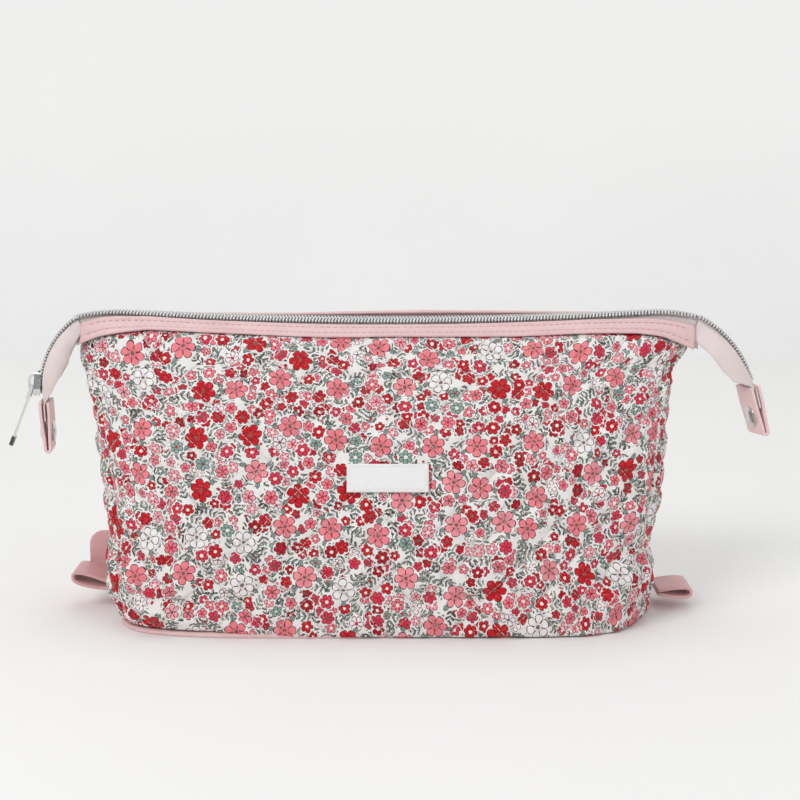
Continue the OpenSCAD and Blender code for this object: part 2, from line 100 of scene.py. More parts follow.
def height(v, f):
    rise = bez([WALL_Z, WALL_Z + 37.5, ZIP_Z - 31, WALL_TOP], v)
    return rise - HEM_SAG * v ** 3 * (half_w(v) * f / HALF) ** 2


def front_pt(f, v, inset=0.0):
    f, v = np.broadcast_arrays(f, v)
    y = -(half_d(v) - inset) * round_off(f, plan(v))
    return np.stack([(half_w(v) - inset) * f, y, height(v, f)], -1)


def end_pt(g, v, inset=0.0):
    g, v = np.broadcast_arrays(g, v)
    d = half_d(v) - inset
    y = (d * round_off(SEAM_AT, plan(v)) - FIT) * g
    f = round_off(y / d, plan(v))
    return np.stack([(half_w(v) - inset) * f, y, height(v, f)], -1)


def band_frame(x):
    """Upper edge, way down the band and way into the bag at x, in (y, z), and the band's width."""
    share = (x / HALF) ** 2
    last = (np.clip(np.abs(x) - 100, 0, None) / (HALF - 100)) ** 2
    top = np.stack([np.full_like(x, -MOUTH_Y), ZIP_Z + np.interp(x, HEM_X, EDGE_UP)], -1)
    hem = np.stack([-HEM_Y + (HEM_Y - HEM_END_Y) * share, ZIP_Z - HEM_FALL - HEM_SAG * share - last], -1)
    run = hem - top
    wide = np.linalg.norm(run, axis=-1)
    unit = run / wide[..., None]
    return top, unit, np.stack([-unit[..., 1], unit[..., 0]], -1), wide


def bend_length(side):
    r, start, end, _ = BENDS[side]
    return math.radians(end - start) * r


def on_bend(side, s, y, h):
    """Places along a zip end: s mm past the start of the bend, y across, h out of the bend."""
    r, start, _, twist = BENDS[side]
    long = bend_length(side)
    straight = 0.55
    past = np.maximum(s - long, 0)
    a = np.radians(start) + np.minimum(s, long) / r
    turn = np.radians(twist) * np.clip((s - straight * long) / ((1 - straight) * long), 0, 1) ** 2
    y, h = y * np.cos(turn) - h * np.sin(turn), y * np.sin(turn) + h * np.cos(turn)
    x = HALF + FIT - r * math.sin(math.radians(start)) + (r + h) * np.sin(a) + past * np.cos(a)
    z = ZIP_Z - r * math.cos(math.radians(start)) + (r + h) * np.cos(a) - past * np.sin(a)
    return np.stack(np.broadcast_arrays(-x if side == "left" else x, y, z), -1)


# Meshes

def grid_faces(rows, cols, wrap=False):
    i, j = np.meshgrid(np.arange(rows - 1), np.arange(cols if wrap else cols - 1), indexing="ij")
    k = (j + 1) % cols
    return np.stack([i * cols + j, i * cols + k, (i + 1) * cols + k, (i + 1) * cols + j], -1).reshape(-1, 4)


def normals_of(verts, faces):
    n = np.zeros_like(verts)
    cross = np.cross(verts[faces[:, 2]] - verts[faces[:, 0]], verts[faces[:, 3]] - verts[faces[:, 1]])
    for k in range(4):
        np.add.at(n, faces[:, k], cross)
    return n / np.maximum(np.linalg.norm(n, axis=1), 1e-9)[:, None]


class Shape:
    """Points, four-sided faces, caps and cloth coordinates of one piece."""

    def __init__(self, verts, faces, uv=None, caps=()):
        self.verts = np.asarray(verts, float).reshape(-1, 3)
        self.faces = np.asarray(faces, int).reshape(-1, 4)
        self.uv = np.zeros((len(self.verts), 2)) if uv is None else np.asarray(uv, float).reshape(-1, 2)
        self.caps = [list(c) for c in caps]

    def mapped(self, move, flip=False):
        faces = self.faces[:, ::-1] if flip else self.faces
        return Shape(move(self.verts), faces, self.uv, [c[::-1] for c in self.caps] if flip else self.caps)


def mirror_y(v):
    return v * [1, -1, 1]


def mirror_x(v):
    return v * [-1, 1, 1]


def tube(rings, uv=None):
    """Shape through closed rings, an array (rings, points, 3)."""
    n, m = rings.shape[:2]
    caps = [list(range(m))[::-1], [(n - 1) * m + j for j in range(m)]]
    if uv is None:
        along = np.concatenate([[0], np.cumsum(np.linalg.norm(np.diff(rings.mean(1), axis=0), axis=1))])
        around = np.concatenate([[0], np.cumsum(np.linalg.norm(np.diff(rings[0], axis=0), axis=1))])
        uv = np.stack(np.meshgrid(along, around, indexing="ij"), -1)
    return Shape(rings, grid_faces(n, m, wrap=True), uv, caps)


def joined(parts):
    """Several shapes as one."""
    count = np.cumsum([0] + [len(p.verts) for p in parts])
    return Shape(
        np.concatenate([p.verts for p in parts]),
        np.concatenate([p.faces + n for p, n in zip(parts, count)]),
        np.concatenate([p.uv for p in parts]),
        [[i + int(n) for i in c] for p, n in zip(parts, count) for c in p.caps],
    )


def shell(outer, inner, uv):
    """Closed shell between two grids of the same shape; the first is the outside."""
    n, m = outer.shape[:2]
    count = n * m
    out = grid_faces(n, m)
    edge = np.concatenate([
        np.arange(m), np.arange(1, n) * m + m - 1,
        (n - 1) * m + np.arange(m - 2, -1, -1), np.arange(n - 2, 0, -1) * m,
    ])
    after = np.roll(edge, -1)
    rim = np.stack([edge, edge + count, after + count, after], -1)
    verts = np.concatenate([outer.reshape(-1, 3), inner.reshape(-1, 3)])
    faces = np.concatenate([out, out[:, ::-1] + count, rim])
    return Shape(verts, faces, np.concatenate([uv.reshape(-1, 2)] * 2))


def make(name, shape, material, normals=None):
    mesh = bpy.data.meshes.new(name)
    mesh.from_pydata((shape.verts * MM).tolist(), [], shape.faces.tolist() + shape.caps)
    mesh.polygons.foreach_set("use_smooth", [True] * len(mesh.polygons))
    layer = mesh.uv_layers.new(name="cloth")
    index = np.empty(len(mesh.loops), int)
    mesh.loops.foreach_get("vertex_index", index)
    layer.data.foreach_set("uv", (shape.uv[index] * MM).astype(np.float32).ravel())
    mesh.materials.append(material)
    mesh.update()
    if normals is not None:
        mesh.normals_split_custom_set_from_vertices(normals.tolist())
    obj = bpy.data.objects.new(name, mesh)
    bpy.context.scene.collection.objects.link(obj)
    return obj


def stands_for(obj, node):
    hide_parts(node)
    return obj


def rides(name, shape, material, body, node):
    obj = make(name, shape, material)
    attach(obj, body)
    return stands_for(obj, node)


def ramp_up(t, lo, hi):
    t = np.clip((t - lo) / (hi - lo), 0, 1)
    return t * t * (3 - 2 * t)


def tuck(v):
    """The lower corners are rounder than the base's plan, most of all on the right."""
    x, y, z = v[:, 0], v[:, 1], v[:, 2]
    corner = (1 - ramp_up(z, 1.5, 22)) * ramp_up(np.abs(x), 78, 124) * ramp_up(np.abs(y), 4, 44)
    inward = corner * np.where(x > 0, TUCK_RIGHT, TUCK_LEFT)
    return np.stack([x - np.sign(x) * inward, y, z], -1)


def under(v):
    """The base sheet: its edge shows at the front on the left and lies under the wall on the right."""
    x, y, z = tuck(v).T
    x = x - BASE_IN * ramp_up(x, 60, 120)
    return np.stack([x, y * (1 - 0.03 * ramp_up(x, -40, 20)), z], -1)


def settle(v):
    """The standing bag: its mouth sags between two crests, and its sides lean and slump."""
    x, y, z = tuck(v).T
    share = np.clip((x / HALF) ** 2, 0, 1)
    weight = np.clip(z / ZIP_Z, 0, 1) ** 4
    drop = (1 - share) * (SAG - LEAN * np.clip(y, -6, 6)) - CREST
    drop = drop + CREST * (np.clip(np.abs(x) - CREST_END, 0, None) / (HALF - CREST_END)) ** 2.2
    lift = np.interp(x, HEM_X, HEM_UP) * np.exp(-((z - WALL_TOP + HEM_SAG * share) / 5) ** 2)
    right, left = ramp_up(x, 50, 125), ramp_up(-x, 60, 128)
    lean = right * np.interp(z, SIDE_Z, RIGHT_IN) + left * np.interp(z, SIDE_Z, LEFT_OUT)
    foot = np.exp(-np.clip(z - WALL_Z, 0, None) / 7) * ramp_up(x, -95, -35)
    y = y + SLUMP_OUT * foot * np.sign(y) * np.clip(np.abs(y) / 20, 0, 1)
    return np.stack([x - lean, y, z - weight * drop + lift - SLUMP_DOWN * foot], -1)


def opens(name, shape, material, node):
    """The piece settled and cut into left and right halves at x = 0; halves without caps keep the whole
    piece's normals.
    """
    shape = shape.mapped(settle)
    full = normals_of(shape.verts, shape.faces)
    made = []
    for side, sign in (("left", -1), ("right", 1)):
        pick = shape.verts[shape.faces].mean(1)[:, 0] * sign > 0
        caps = [c for c in shape.caps if shape.verts[c].mean(0)[0] * sign > 0]
        faces = shape.faces[pick]
        used = np.unique(np.concatenate([faces.ravel(), np.array(sum(caps, []), int)]))
        back = np.full(len(shape.verts), -1)
        back[used] = np.arange(len(used))
        caps = [[int(back[i]) for i in c] for c in caps]
        part = Shape(shape.verts[used], back[faces], shape.uv[used], caps)
        obj = make(f"{name}_{side}", part, material, None if caps else full[used])
        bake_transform(obj)
        made.append(stands_for(obj, node))
    return made


# Materials

def srgb(*c):
    """Colour from 0 to 255 as the shaders want it."""
    share = (k / 255 for k in c)
    return tuple(x / 12.92 if x <= 0.04045 else ((x + 0.055) / 1.055) ** 2.4 for x in share) + (1.0,)


class Net:
    """A material with short words for its nodes."""

    def __init__(self, name, **shader):
        self.mat = bpy.data.materials.new(name)
        self.mat.use_nodes = True
        self.tree = self.mat.node_tree
        self.bsdf = self.tree.nodes["Principled BSDF"]
        for key, value in shader.items():
            self.bsdf.inputs[key.replace("_", " ")].default_value = value

    def put(self, socket, value):
        if isinstance(value, bpy.types.NodeSocket):
            self.tree.links.new(value, socket)
        else:
            socket.default_value = value

    def add(self, kind, *inputs, at=None, out=0, **props):
        """Output of a new node. The inputs go to its sockets in order, or to those named in at."""
        node = self.tree.nodes.new("ShaderNode" + kind)
        for key, value in props.items():
            setattr(node, key, value)
        for k, value in zip(at or range(len(inputs)), inputs):
            if value is not None:
                self.put(node.inputs[k], value)
        return node.outputs[out]

    def m(self, op, *inputs, clamp=False):
        return self.add("Math", *inputs, operation=op, use_clamp=clamp)

    def v(self, op, *inputs, out=0):
        return self.add("VectorMath", *inputs, operation=op, out=out)

    def mm(self, place):
        return self.add("VectorMath", place, 1000, at=(0, "Scale"), operation="SCALE")

    def cloth(self):
        """Cloth coordinates in mm."""
        return self.mm(self.add("UVMap", uv_map="cloth"))

    def space(self):
        """Place on the piece in mm."""
        return self.mm(self.add("TexCoord", out=3))

    def xy(self, place):
        return [self.add("SeparateXYZ", place, out=k) for k in (0, 1)]

    def noise(self, where, size, detail=3.0, out=0):
        return self.add("TexNoise", where, None, 1 / size, detail, out=out)

    def mix(self, share, a, b):
        return self.add("Mix", share, a, b, at=(0, 6, 7), out=2, data_type="RGBA")

    def ramp(self, value, *stops, steps=False):
        """Colour ramp through stops of a place and a colour from 0 to 1."""
        ramp = self.add("ValToRGB", value)
        elements = ramp.node.color_ramp.elements
        ramp.node.color_ramp.interpolation = "CONSTANT" if steps else "LINEAR"
        while len(elements) < len(stops):
            elements.new(1.0)
        for element, (at, colour) in zip(elements, stops):
            element.position = at
            element.color = colour
        return ramp

    def pick(self, value, *stops):
        """One of several colours: each holds from its number up."""
        return self.ramp(value, *((at, srgb(*colour)) for at, *colour in stops), steps=True)

    def tones(self, value, lo, hi, dark, light):
        return self.ramp(value, (lo, srgb(*dark)), (hi, srgb(*light)))

    def grey(self, value, lo, hi, a, b):
        return self.ramp(value, (lo, (a, a, a, 1)), (hi, (b, b, b, 1)))

    def bump(self, high, depth, under=None):
        """Bump of a height in mm times depth."""
        sockets = ("Strength", "Distance", "Height", "Normal")
        return self.add("Bump", 1.0, depth * MM, high, under, at=sockets)

    def done(self, colour=None, rough=None, bump=None):
        for key, value in (("Base Color", colour), ("Roughness", rough), ("Normal", bump)):
            if value is not None:
                self.put(self.bsdf.inputs[key], value)
        return self.mat


def scatter(net, where, cell, loose, shift):
    """One motif place per cell: offset from the place, distance, and three random numbers."""
    origin = (shift * 13.7 + 500, shift * 7.9 + 500, 0)
    moved = net.v("ADD", where, origin)
    sockets = ("Vector", "Scale", "Randomness")
    node = net.add("TexVoronoi", moved, 1 / cell, loose, at=sockets, voronoi_dimensions="2D").node
    place = node.outputs["Position"]
    off = net.v("SUBTRACT", moved, place)
    x, y = net.xy(off)
    random = [net.add("SeparateColor", node.outputs["Color"], out=k) for k in (0, 1, 2)]
    spot = net.v("SUBTRACT", place, origin)
    return {"x": x, "y": y, "r": net.v("LENGTH", off, out=1), "random": random, "spot": spot}


def angle(net, s):
    return net.m("ADD", net.m("ARCTAN2", s["y"], s["x"]), net.m("MULTIPLY", s["random"][1], 2 * math.pi))


def blossom(net, s, petals, radius, notch, eye=0.25):
    """Masks of a flower: whole, drawn lines, and heart."""
    turn = net.m("FRACT", net.m("MULTIPLY_ADD", angle(net, s), petals / (2 * math.pi), 50))
    fold = net.m("ABSOLUTE", net.m("MULTIPLY_ADD", turn, 2, -1))
    edge = net.m("MULTIPLY_ADD", net.m("POWER", fold, 3), -notch * radius, radius)
    whole = net.m("LESS_THAN", s["r"], edge)
    line = 0.24 + radius * 0.03
    rim = net.m("GREATER_THAN", s["r"], net.m("SUBTRACT", edge, line))
    gap = net.m("MULTIPLY", net.m("SUBTRACT", 1, fold), net.m("MULTIPLY", s["r"], math.pi / petals))
    outer = net.m("GREATER_THAN", s["r"], radius * 0.3)
    vein = net.m("MULTIPLY", net.m("LESS_THAN", gap, line * 0.6), outer)
    return whole, net.m("MAXIMUM", rim, vein), net.m("LESS_THAN", s["r"], radius * eye)


def foliage(net, s, count, inner, long, wide):
    """Leaves that stand round a flower: whole and outline."""
    turn = net.m("FRACT", net.m("MULTIPLY_ADD", angle(net, s), count / (2 * math.pi), 50.3))
    around = net.m("MULTIPLY", s["r"], 2 * math.pi / count)
    across = net.m("ABSOLUTE", net.m("MULTIPLY", net.m("SUBTRACT", turn, 0.5), around))
    way = net.m("MULTIPLY_ADD", s["r"], 2 / long, -(2 * inner + long) / long)
    edge = net.m("MULTIPLY", net.m("SUBTRACT", 1, net.m("MULTIPLY", way, way)), wide)
    rim = net.m("GREATER_THAN", across, net.m("SUBTRACT", edge, 0.24))
    return net.m("LESS_THAN", across, edge), net.m("MAXIMUM", rim, net.m("LESS_THAN", across, 0.1))


def sprig(net, s, long, step):
    """A stem with leaves in pairs: whole and outline."""
    a = net.m("MULTIPLY", s["random"][2], 2 * math.pi)
    c, d = net.m("COSINE", a), net.m("SINE", a)
    x = net.m("ADD", net.m("MULTIPLY", s["x"], c), net.m("MULTIPLY", s["y"], d))
    y = net.m("SUBTRACT", net.m("MULTIPLY", s["y"], c), net.m("MULTIPLY", s["x"], d))
    y = net.m("ADD", y, net.m("MULTIPLY", net.m("MULTIPLY", x, x), 0.06))
    side = net.m("ABSOLUTE", y)
    slant = net.m("SUBTRACT", x, net.m("MULTIPLY", side, 0.7))
    part = net.m("FRACT", net.m("MULTIPLY_ADD", slant, 1 / step, 50))
    lx = net.m("MULTIPLY", net.m("SUBTRACT", part, 0.5), 1 / 0.29)
    ly = net.m("DIVIDE", net.m("SUBTRACT", side, step * 0.52), step * 0.48)
    q = net.m("ADD", net.m("MULTIPLY", lx, lx), net.m("MULTIPLY", ly, ly))
    near = net.m("LESS_THAN", net.m("ABSOLUTE", x), long)
    leaf = net.m("MULTIPLY", net.m("LESS_THAN", q, 1), near)
    stem = net.m("MULTIPLY", net.m("LESS_THAN", side, 0.12), near)
    rim = net.m("MULTIPLY", net.m("GREATER_THAN", q, 0.5), leaf)
    return net.m("MAXIMUM", leaf, stem), net.m("MAXIMUM", rim, stem)


LEAF_INK, ROSE_INK = srgb(50, 44, 41), srgb(88, 24, 36)
# Colours of the motifs, each with the random number from which it is used
SPRIGS = ((0, 130, 140, 128), (0.35, 164, 168, 156), (0.6, 112, 134, 126), (0.85, 90, 80, 72))
SPECKS = ((0, 190, 30, 52), (0.55, 226, 104, 122), (0.85, 150, 178, 168))
FLOWERS = (
    (0, 204, 14, 32), (0.25, 240, 122, 136), (0.5, 246, 166, 176), (0.62, 218, 50, 78),
    (0.79, 134, 170, 160), (0.85, 246, 234, 236), (0.9, 176, 10, 28),
)
HEARTS = ((0, 250, 236, 226), (0.45, 200, 30, 60), (0.75, 112, 84, 70))
BIG_FLOWERS = ((0, 240, 132, 140), (0.42, 244, 240, 240), (0.6, 202, 12, 28), (0.84, 244, 148, 156))
BIG_CELL, BIG_LOOSE, BIG_R = 22.5, 0.6, 5.5
# Layers of small flowers: cell, looseness, shift, radius, petals, notch and the share that is kept
LAYERS = (
    (7.4, 0.74, 6, 2.3, 5, 0.34, 0.88),
    (9.0, 0.74, 7, 2.8, 5, 0.36, 0.9),
    (11.5, 0.7, 2, 3.3, 6, 0.3, 0.92),
)


def small_flowers(net, p, colour, ground):
    for cell, loose, shift, radius, petals, notch, kept in LAYERS:
        s = scatter(net, p, cell, loose, shift)
        nearest = scatter(net, s["spot"], BIG_CELL, BIG_LOOSE, 0)["r"]
        apart = net.m("GREATER_THAN", nearest, BIG_R + radius * 0.7)
        shown = net.m("MULTIPLY", apart, net.m("LESS_THAN", s["random"][2], kept))
        clear = net.m("MULTIPLY", net.m("LESS_THAN", s["r"], radius + 0.35), shown)
        colour = net.mix(clear, colour, ground)
        whole, line, heart = blossom(net, s, petals, radius, notch)
        drawn = net.mix(line, net.pick(s["random"][0], *FLOWERS), ROSE_INK)
        drawn = net.mix(heart, drawn, net.pick(s["random"][1], *HEARTS))
        colour = net.mix(net.m("MULTIPLY", whole, shown), colour, drawn)
    return colour


def big_flowers(net, p, colour, ground):
    big = scatter(net, p, BIG_CELL, BIG_LOOSE, 0)
    colour = net.mix(net.m("LESS_THAN", big["r"], BIG_R + 0.5), colour, ground)
    whole, line = foliage(net, big, 3, BIG_R - 0.8, 3.4, 1.1)
    colour = net.mix(whole, colour, net.mix(line, srgb(140, 160, 150), LEAF_INK))
    whole, line, heart = blossom(net, big, 6, BIG_R, 0.34, 0.15)
    fill = net.pick(big["random"][0], *BIG_FLOWERS)
    inside = net.m("MULTIPLY", net.m("LESS_THAN", big["r"], 2.5), 0.35)
    shade = net.mix(inside, fill, net.mix(0.5, fill, ROSE_INK))
    return net.mix(whole, colour, net.mix(heart, net.mix(line, shade, ROSE_INK), srgb(128, 96, 78)))


def quilting(net, x, y):
    """Masks of the quilting along both diagonals: stitches, and the valley round them."""
    thread, valley = [], []
    for sign in (1, -1):
        way = net.m("MULTIPLY", net.m("MULTIPLY_ADD", y, sign, x), math.sqrt(0.5))
        along = net.m("MULTIPLY", net.m("MULTIPLY_ADD", y, -sign, x), math.sqrt(0.5))
        off = net.m("PINGPONG", way, QUILT / 2)
        shown = net.m("LESS_THAN", net.m("FRACT", net.m("MULTIPLY_ADD", along, 1 / 2.7, 90)), 0.72)
        thread.append(net.m("MULTIPLY", net.m("LESS_THAN", off, 0.17), shown))
        valley.append(net.m("DIVIDE", 1, net.m("MULTIPLY_ADD", off, 1.2, 1)))
    return net.m("MAXIMUM", *thread), net.m("MAXIMUM", *valley)


def floral():
    """Cotton printed with small flowers and leaves, quilted with pale thread in diamonds."""
    net = Net("quilted_floral_cotton", Sheen_Weight=0.12, Sheen_Roughness=0.5, Specular_IOR_Level=0.25)
    flat = net.cloth()
    wobble = net.v("SUBTRACT", net.noise(flat, 2.2, 2, out=1), (0.5, 0.5, 0.5))
    p = net.v("ADD", flat, net.v("MULTIPLY", wobble, (0.9, 0.9, 0)))
    ink = net.noise(flat, 1.1, 2)
    ground = net.tones(net.noise(flat, 14.0, 3), 0.3, 0.7, (236, 232, 228), (244, 241, 238))
    colour = ground
    for shift, cell, long, step in ((3, 8.8, 4.4, 2.4), (4, 7.6, 3.8, 2.2)):
        s = scatter(net, p, cell, 0.8, shift)
        whole, line = sprig(net, s, long, step)
        fill = net.pick(s["random"][0], *SPRIGS)
        colour = net.mix(whole, colour, net.mix(line, fill, LEAF_INK))
    specks = scatter(net, p, 6.2, 0.85, 9)
    dot = net.m("LESS_THAN", net.m("ADD", *(net.m("ABSOLUTE", specks[k]) for k in "xy")), 0.85)
    dot = net.m("MULTIPLY", dot, net.m("LESS_THAN", specks["random"][2], 0.5))
    colour = net.mix(dot, colour, net.pick(specks["random"][0], *SPECKS))
    colour = big_flowers(net, p, small_flowers(net, p, colour, ground), ground)
    worn = net.m("MULTIPLY", net.m("GREATER_THAN", ink, 0.6), 0.08)
    colour = net.mix(worn, colour, srgb(250, 246, 242))
    x, y = net.xy(flat)
    thread, valley = quilting(net, x, y)
    colour = net.mix(net.m("MULTIPLY", thread, 0.8), colour, srgb(240, 232, 229))
    weave = net.m("ADD", *(net.m("SINE", net.m("MULTIPLY", k, 12.5)) for k in (x, y)))
    pucker = net.m("MULTIPLY", net.noise(flat, 4.0, 3), valley)
    bump = net.bump(weave, 0.02)
    bump = net.bump(net.m("SUBTRACT", pucker, valley), 1.4, bump)
    bump = net.bump(thread, 0.15, bump)
    return net.done(colour, net.grey(ink, 0.3, 0.7, 0.72, 0.86), bump)


def leatherette(name, light, dark):
    """Coated cloth: fine pebble grain, soft sheen, a little tonal drift."""
    net = Net(name, Specular_IOR_Level=0.4, Coat_Weight=0.06, Coat_Roughness=0.35)
    where = net.space()
    colour = net.tones(net.noise(where, 16.0, 4), 0.3, 0.7, dark, light)
    pebbles = net.add("TexVoronoi", where, 1 / 0.55, at=("Vector", "Scale"), out="Distance")
    grain = net.m("ADD", pebbles, net.m("MULTIPLY", net.noise(where, 2.2, 4), 1.2))
    bump = net.bump(net.noise(where, 9.0, 2), 0.35, net.bump(grain, 0.06))
    return net.done(colour, net.grey(net.noise(where, 3.0, 3), 0.3, 0.7, 0.35, 0.51), bump)


def woven(name, light, dark, pitch, slant, glow=0.0):
    """Plain or twill tape: two sets of ribs across each other. Light glows through thin tape."""
    net = Net(name, Sheen_Weight=0.2, Sheen_Roughness=0.4, Specular_IOR_Level=0.25)
    net.bsdf.inputs["Subsurface Weight"].default_value = glow
    net.bsdf.inputs["Subsurface Radius"].default_value = (1.0, 0.55, 0.45)
    net.bsdf.inputs["Subsurface Scale"].default_value = 0.003
    where = net.cloth()
    x, y = net.xy(where)
    k = 2 * math.pi / pitch
    warp = net.m("SINE", net.m("MULTIPLY", net.m("MULTIPLY_ADD", net.m("PINGPONG", y, 2.0), slant, x), k))
    weft = net.m("SINE", net.m("MULTIPLY", y, k))
    cloth = net.m("MULTIPLY_ADD", net.m("MULTIPLY", warp, weft), 0.5, 0.5)
    drift = net.noise(where, 8.0, 3)
    share = net.m("MULTIPLY_ADD", cloth, 0.5, net.m("MULTIPLY", drift, 0.5))
    colour = net.mix(share, srgb(*dark), srgb(*light))
    return net.done(colour, net.grey(drift, 0.3, 0.7, 0.7, 0.85), net.bump(cloth, 0.12))


def metal(name, tone, rough, size, share=1.0, grip=None):
    """Plated metal with a faint brushed haze and dull patches. The pull is dark beyond its grip."""
    net = Net(name, Metallic=share)
    where = net.space()
    haze = net.noise(where, size, 4)
    colour = net.tones(haze, 0.35, 0.65, [c - 16 for c in tone], tone)
    fine = net.noise(net.v("MULTIPLY", where, (6.0, 1.0, 1.0)), 0.5, 2)
    if grip:
        way = net.v("DOT_PRODUCT", net.v("SUBTRACT", where, PULL_AT), PULL_WAY, out=1)
        colour = net.mix(net.m("GREATER_THAN", way, grip), colour, srgb(82, 80, 79))
    return net.done(colour, net.grey(haze, 0.3, 0.75, rough, rough + 0.14), net.bump(fine, 0.01))


def plain(name, light, dark, rough, size):
    """Moulded or spun piece: faint mottling and a fine surface."""
    net = Net(name, Specular_IOR_Level=0.35)
    where = net.space()
    mottle = net.noise(where, size, 4)
    colour = net.tones(mottle, 0.35, 0.65, dark, light)
    bump = net.bump(net.noise(where, 0.5, 3), 0.05)
    return net.done(colour, net.grey(mottle, 0.3, 0.7, rough - 0.06, rough + 0.06), bump)


COTTON = floral()
PINK = leatherette("pink_leatherette", (233, 199, 199), (224, 187, 187))
# The tabs are the band's pink leatherette, lightened: painted light on faces that the lamps leave in shade.
TAB_PINK_PAINTED_LIGHT = leatherette("pink_leatherette_tab_painted_light", (248, 219, 220), (240, 208, 209))
DUSK = leatherette("pink_leatherette_strap", (226, 180, 180), (214, 164, 165))
THREAD = plain("pink_thread", (216, 164, 170), (202, 148, 156), 0.6, 1.5)
PALE_THREAD = plain("white_thread", (236, 234, 232), (222, 220, 218), 0.65, 1.5)
TAPE = woven("zip_tape", (246, 230, 228), (234, 212, 211), 0.7, 1.0, 0.35)
LINING = woven("lining_cloth", (240, 232, 228), (226, 216, 212), 0.9, 0.0)
COIL = metal("metallised_coil", (226, 226, 225), 0.28, 1.2, 0.55)
# The coil's cord is dark grey: painted shade that darkens the gaps between the coil's turns.
CORE_PAINTED_SHADE = plain("coil_core_painted_shade", (150, 146, 145), (122, 119, 118), 0.6, 1.5)
STEEL = metal("plated_metal", (218, 217, 217), 0.1, 2.5)
PULL = metal("plated_pull", (222, 221, 221), 0.14, 2.5, grip=26.2)
STAY = plain("stay_strip", (226, 224, 218), (212, 210, 204), 0.5, 5.0)
LABEL = plain("bare_label", (240, 239, 238), (236, 235, 234), 0.55, 1.2)


# Quilted walls

# Frames of the simulation, its largest move, the gain after it, the pads' fill and the walls' thickness
FRAMES, LIFT, GAIN, FILL, WALL_T = 20, 2.8, 0.45, 0.35, 2.4
FABRIC = {
    "quality": 3, "mass": 0.1, "tension_stiffness": 8, "compression_stiffness": 8, "shear_stiffness": 5,
    "bending_stiffness": 1.0, "air_damping": 5, "vertex_group_mass": "sewn", "pin_stiffness": 1,
    "use_pressure": True, "uniform_pressure_force": 4, "shrink_min": -0.025, "shrink_max": -0.025,
}
FILLS = 0.75 + 0.5 * rng.random((64, 64))
# Creases and dents: depth, place in x and z, size in x and z, slope, and whether only the front has it
DENTS = (
    (-3.4, -112, 17, 34, 2.8, -0.07, True), (2.2, -108, 9.5, 34, 4.5, -0.05, True),
    (-2.4, 128, 42, 26, 5, 0.15, True), (1.2, 124, 27, 22, 7, 0, True), (-1.6, 40, 20, 40, 4, 0.1, True),
    (-1.2, -20, 112, 50, 5, 0.03, False), (1.0, 70, 90, 34, 18, 0, True), (-1.4, -128, 60, 14, 8, 0, False),
)


def lengths(points, axis):
    """Running length along one axis of a grid of points."""
    step = np.linalg.norm(np.diff(points, axis=axis), axis=-1)
    pad = np.zeros_like(np.take(step, [0], axis))
    return np.concatenate([pad, np.cumsum(step, axis)], axis)


def diamonds(u, w):
    """Height of the pillow (0 to 1), the diamond's own fill, and the distance from a sewn line."""
    p, q = (u + w) / math.sqrt(2), (u - w) / math.sqrt(2)
    pillow = np.abs(np.sin(np.pi * p / QUILT)) * np.abs(np.sin(np.pi * q / QUILT))
    lot = FILLS[np.floor(p / QUILT).astype(int) % 64, np.floor(q / QUILT).astype(int) % 64]
    line = np.minimum(*(np.abs(np.mod(k + QUILT / 2, QUILT) - QUILT / 2) for k in (p, q)))
    return pillow, lot, line


def slack(p):
    """Creases and soft dents of the standing bag, out of the surface, by place."""
    x, y, z = p[..., 0], p[..., 1], p[..., 2]
    near = np.clip(-y / 20, 0, 1)
    out = 0.9 * np.sin(x / 23 + 1.3) * np.sin(z / 31 + 0.4)
    for deep, cx, cz, wide, high, slope, front_only in DENTS:
        dent = np.exp(-((x - cx) / wide) ** 2 - ((z - cz - slope * (x - cx)) / high) ** 2)
        out = out + deep * dent * (near if front_only else 1)
    return out


def blown(base, n, u, w, edge):
    """Cloth simulation: air lifts the cover between its sewn lines. Gives each point's move."""
    pillow, lot, line = diamonds(u, w)
    rest = 0.95 * lot * pillow * (1 - np.exp(-edge / 6)) - 0.75 * np.exp(-line / 1.2)
    start = base + n * rest[..., None]
    scene = bpy.context.scene
    mesh = bpy.data.meshes.new("blown")
    mesh.from_pydata((start.reshape(-1, 3) * MM).tolist(), [], grid_faces(*base.shape[:2]).tolist())
    obj = bpy.data.objects.new("blown", mesh)
    scene.collection.objects.link(obj)
    sewn = (line < 0.75) | (edge < 0.5)
    obj.vertex_groups.new(name="sewn").add(np.flatnonzero(sewn.ravel()).tolist(), 1.0, "REPLACE")
    cloth = obj.modifiers.new("blown", "CLOTH")
    cloth.collision_settings.use_collision = False
    fabric = cloth.settings
    for key, value in FABRIC.items():
        setattr(fabric, key, value)
    fabric.effector_weights.gravity = 0
    for k in range(1, FRAMES + 1):
        scene.frame_set(k)
    done = obj.evaluated_get(bpy.context.evaluated_depsgraph_get()).data
    place = np.empty(len(done.vertices) * 3)
    done.vertices.foreach_get("co", place)
    move = place.reshape(base.shape) * 1000 - base
    bpy.data.objects.remove(obj)
    bpy.data.meshes.remove(mesh)
    scene.frame_set(1)
    far = np.linalg.norm(move, axis=-1, keepdims=True)
    return move * np.minimum(1, LIFT / np.maximum(far, 1e-6))


def quilted(base, u, w, edge, inset):
    """Shell with pillows on its outside. edge is the distance to the nearest sewn edge."""
    n = normals_of(base.reshape(-1, 3), grid_faces(*base.shape[:2])).reshape(base.shape)
    hold = 1 - np.exp(-edge / 6)
    move = blown(base, n, u, w, edge) * (1 + GAIN * hold)[..., None]
    high = slack(base) * hold - 0.9 * np.exp(-edge / 1.5)
    return shell(base + move + n * high[..., None], inset, np.stack([u, w], -1))


V = np.linspace(0, 1, 112)[:, None]
ACROSS = np.sin(np.linspace(-np.pi / 2, np.pi / 2, 233))[None, :]


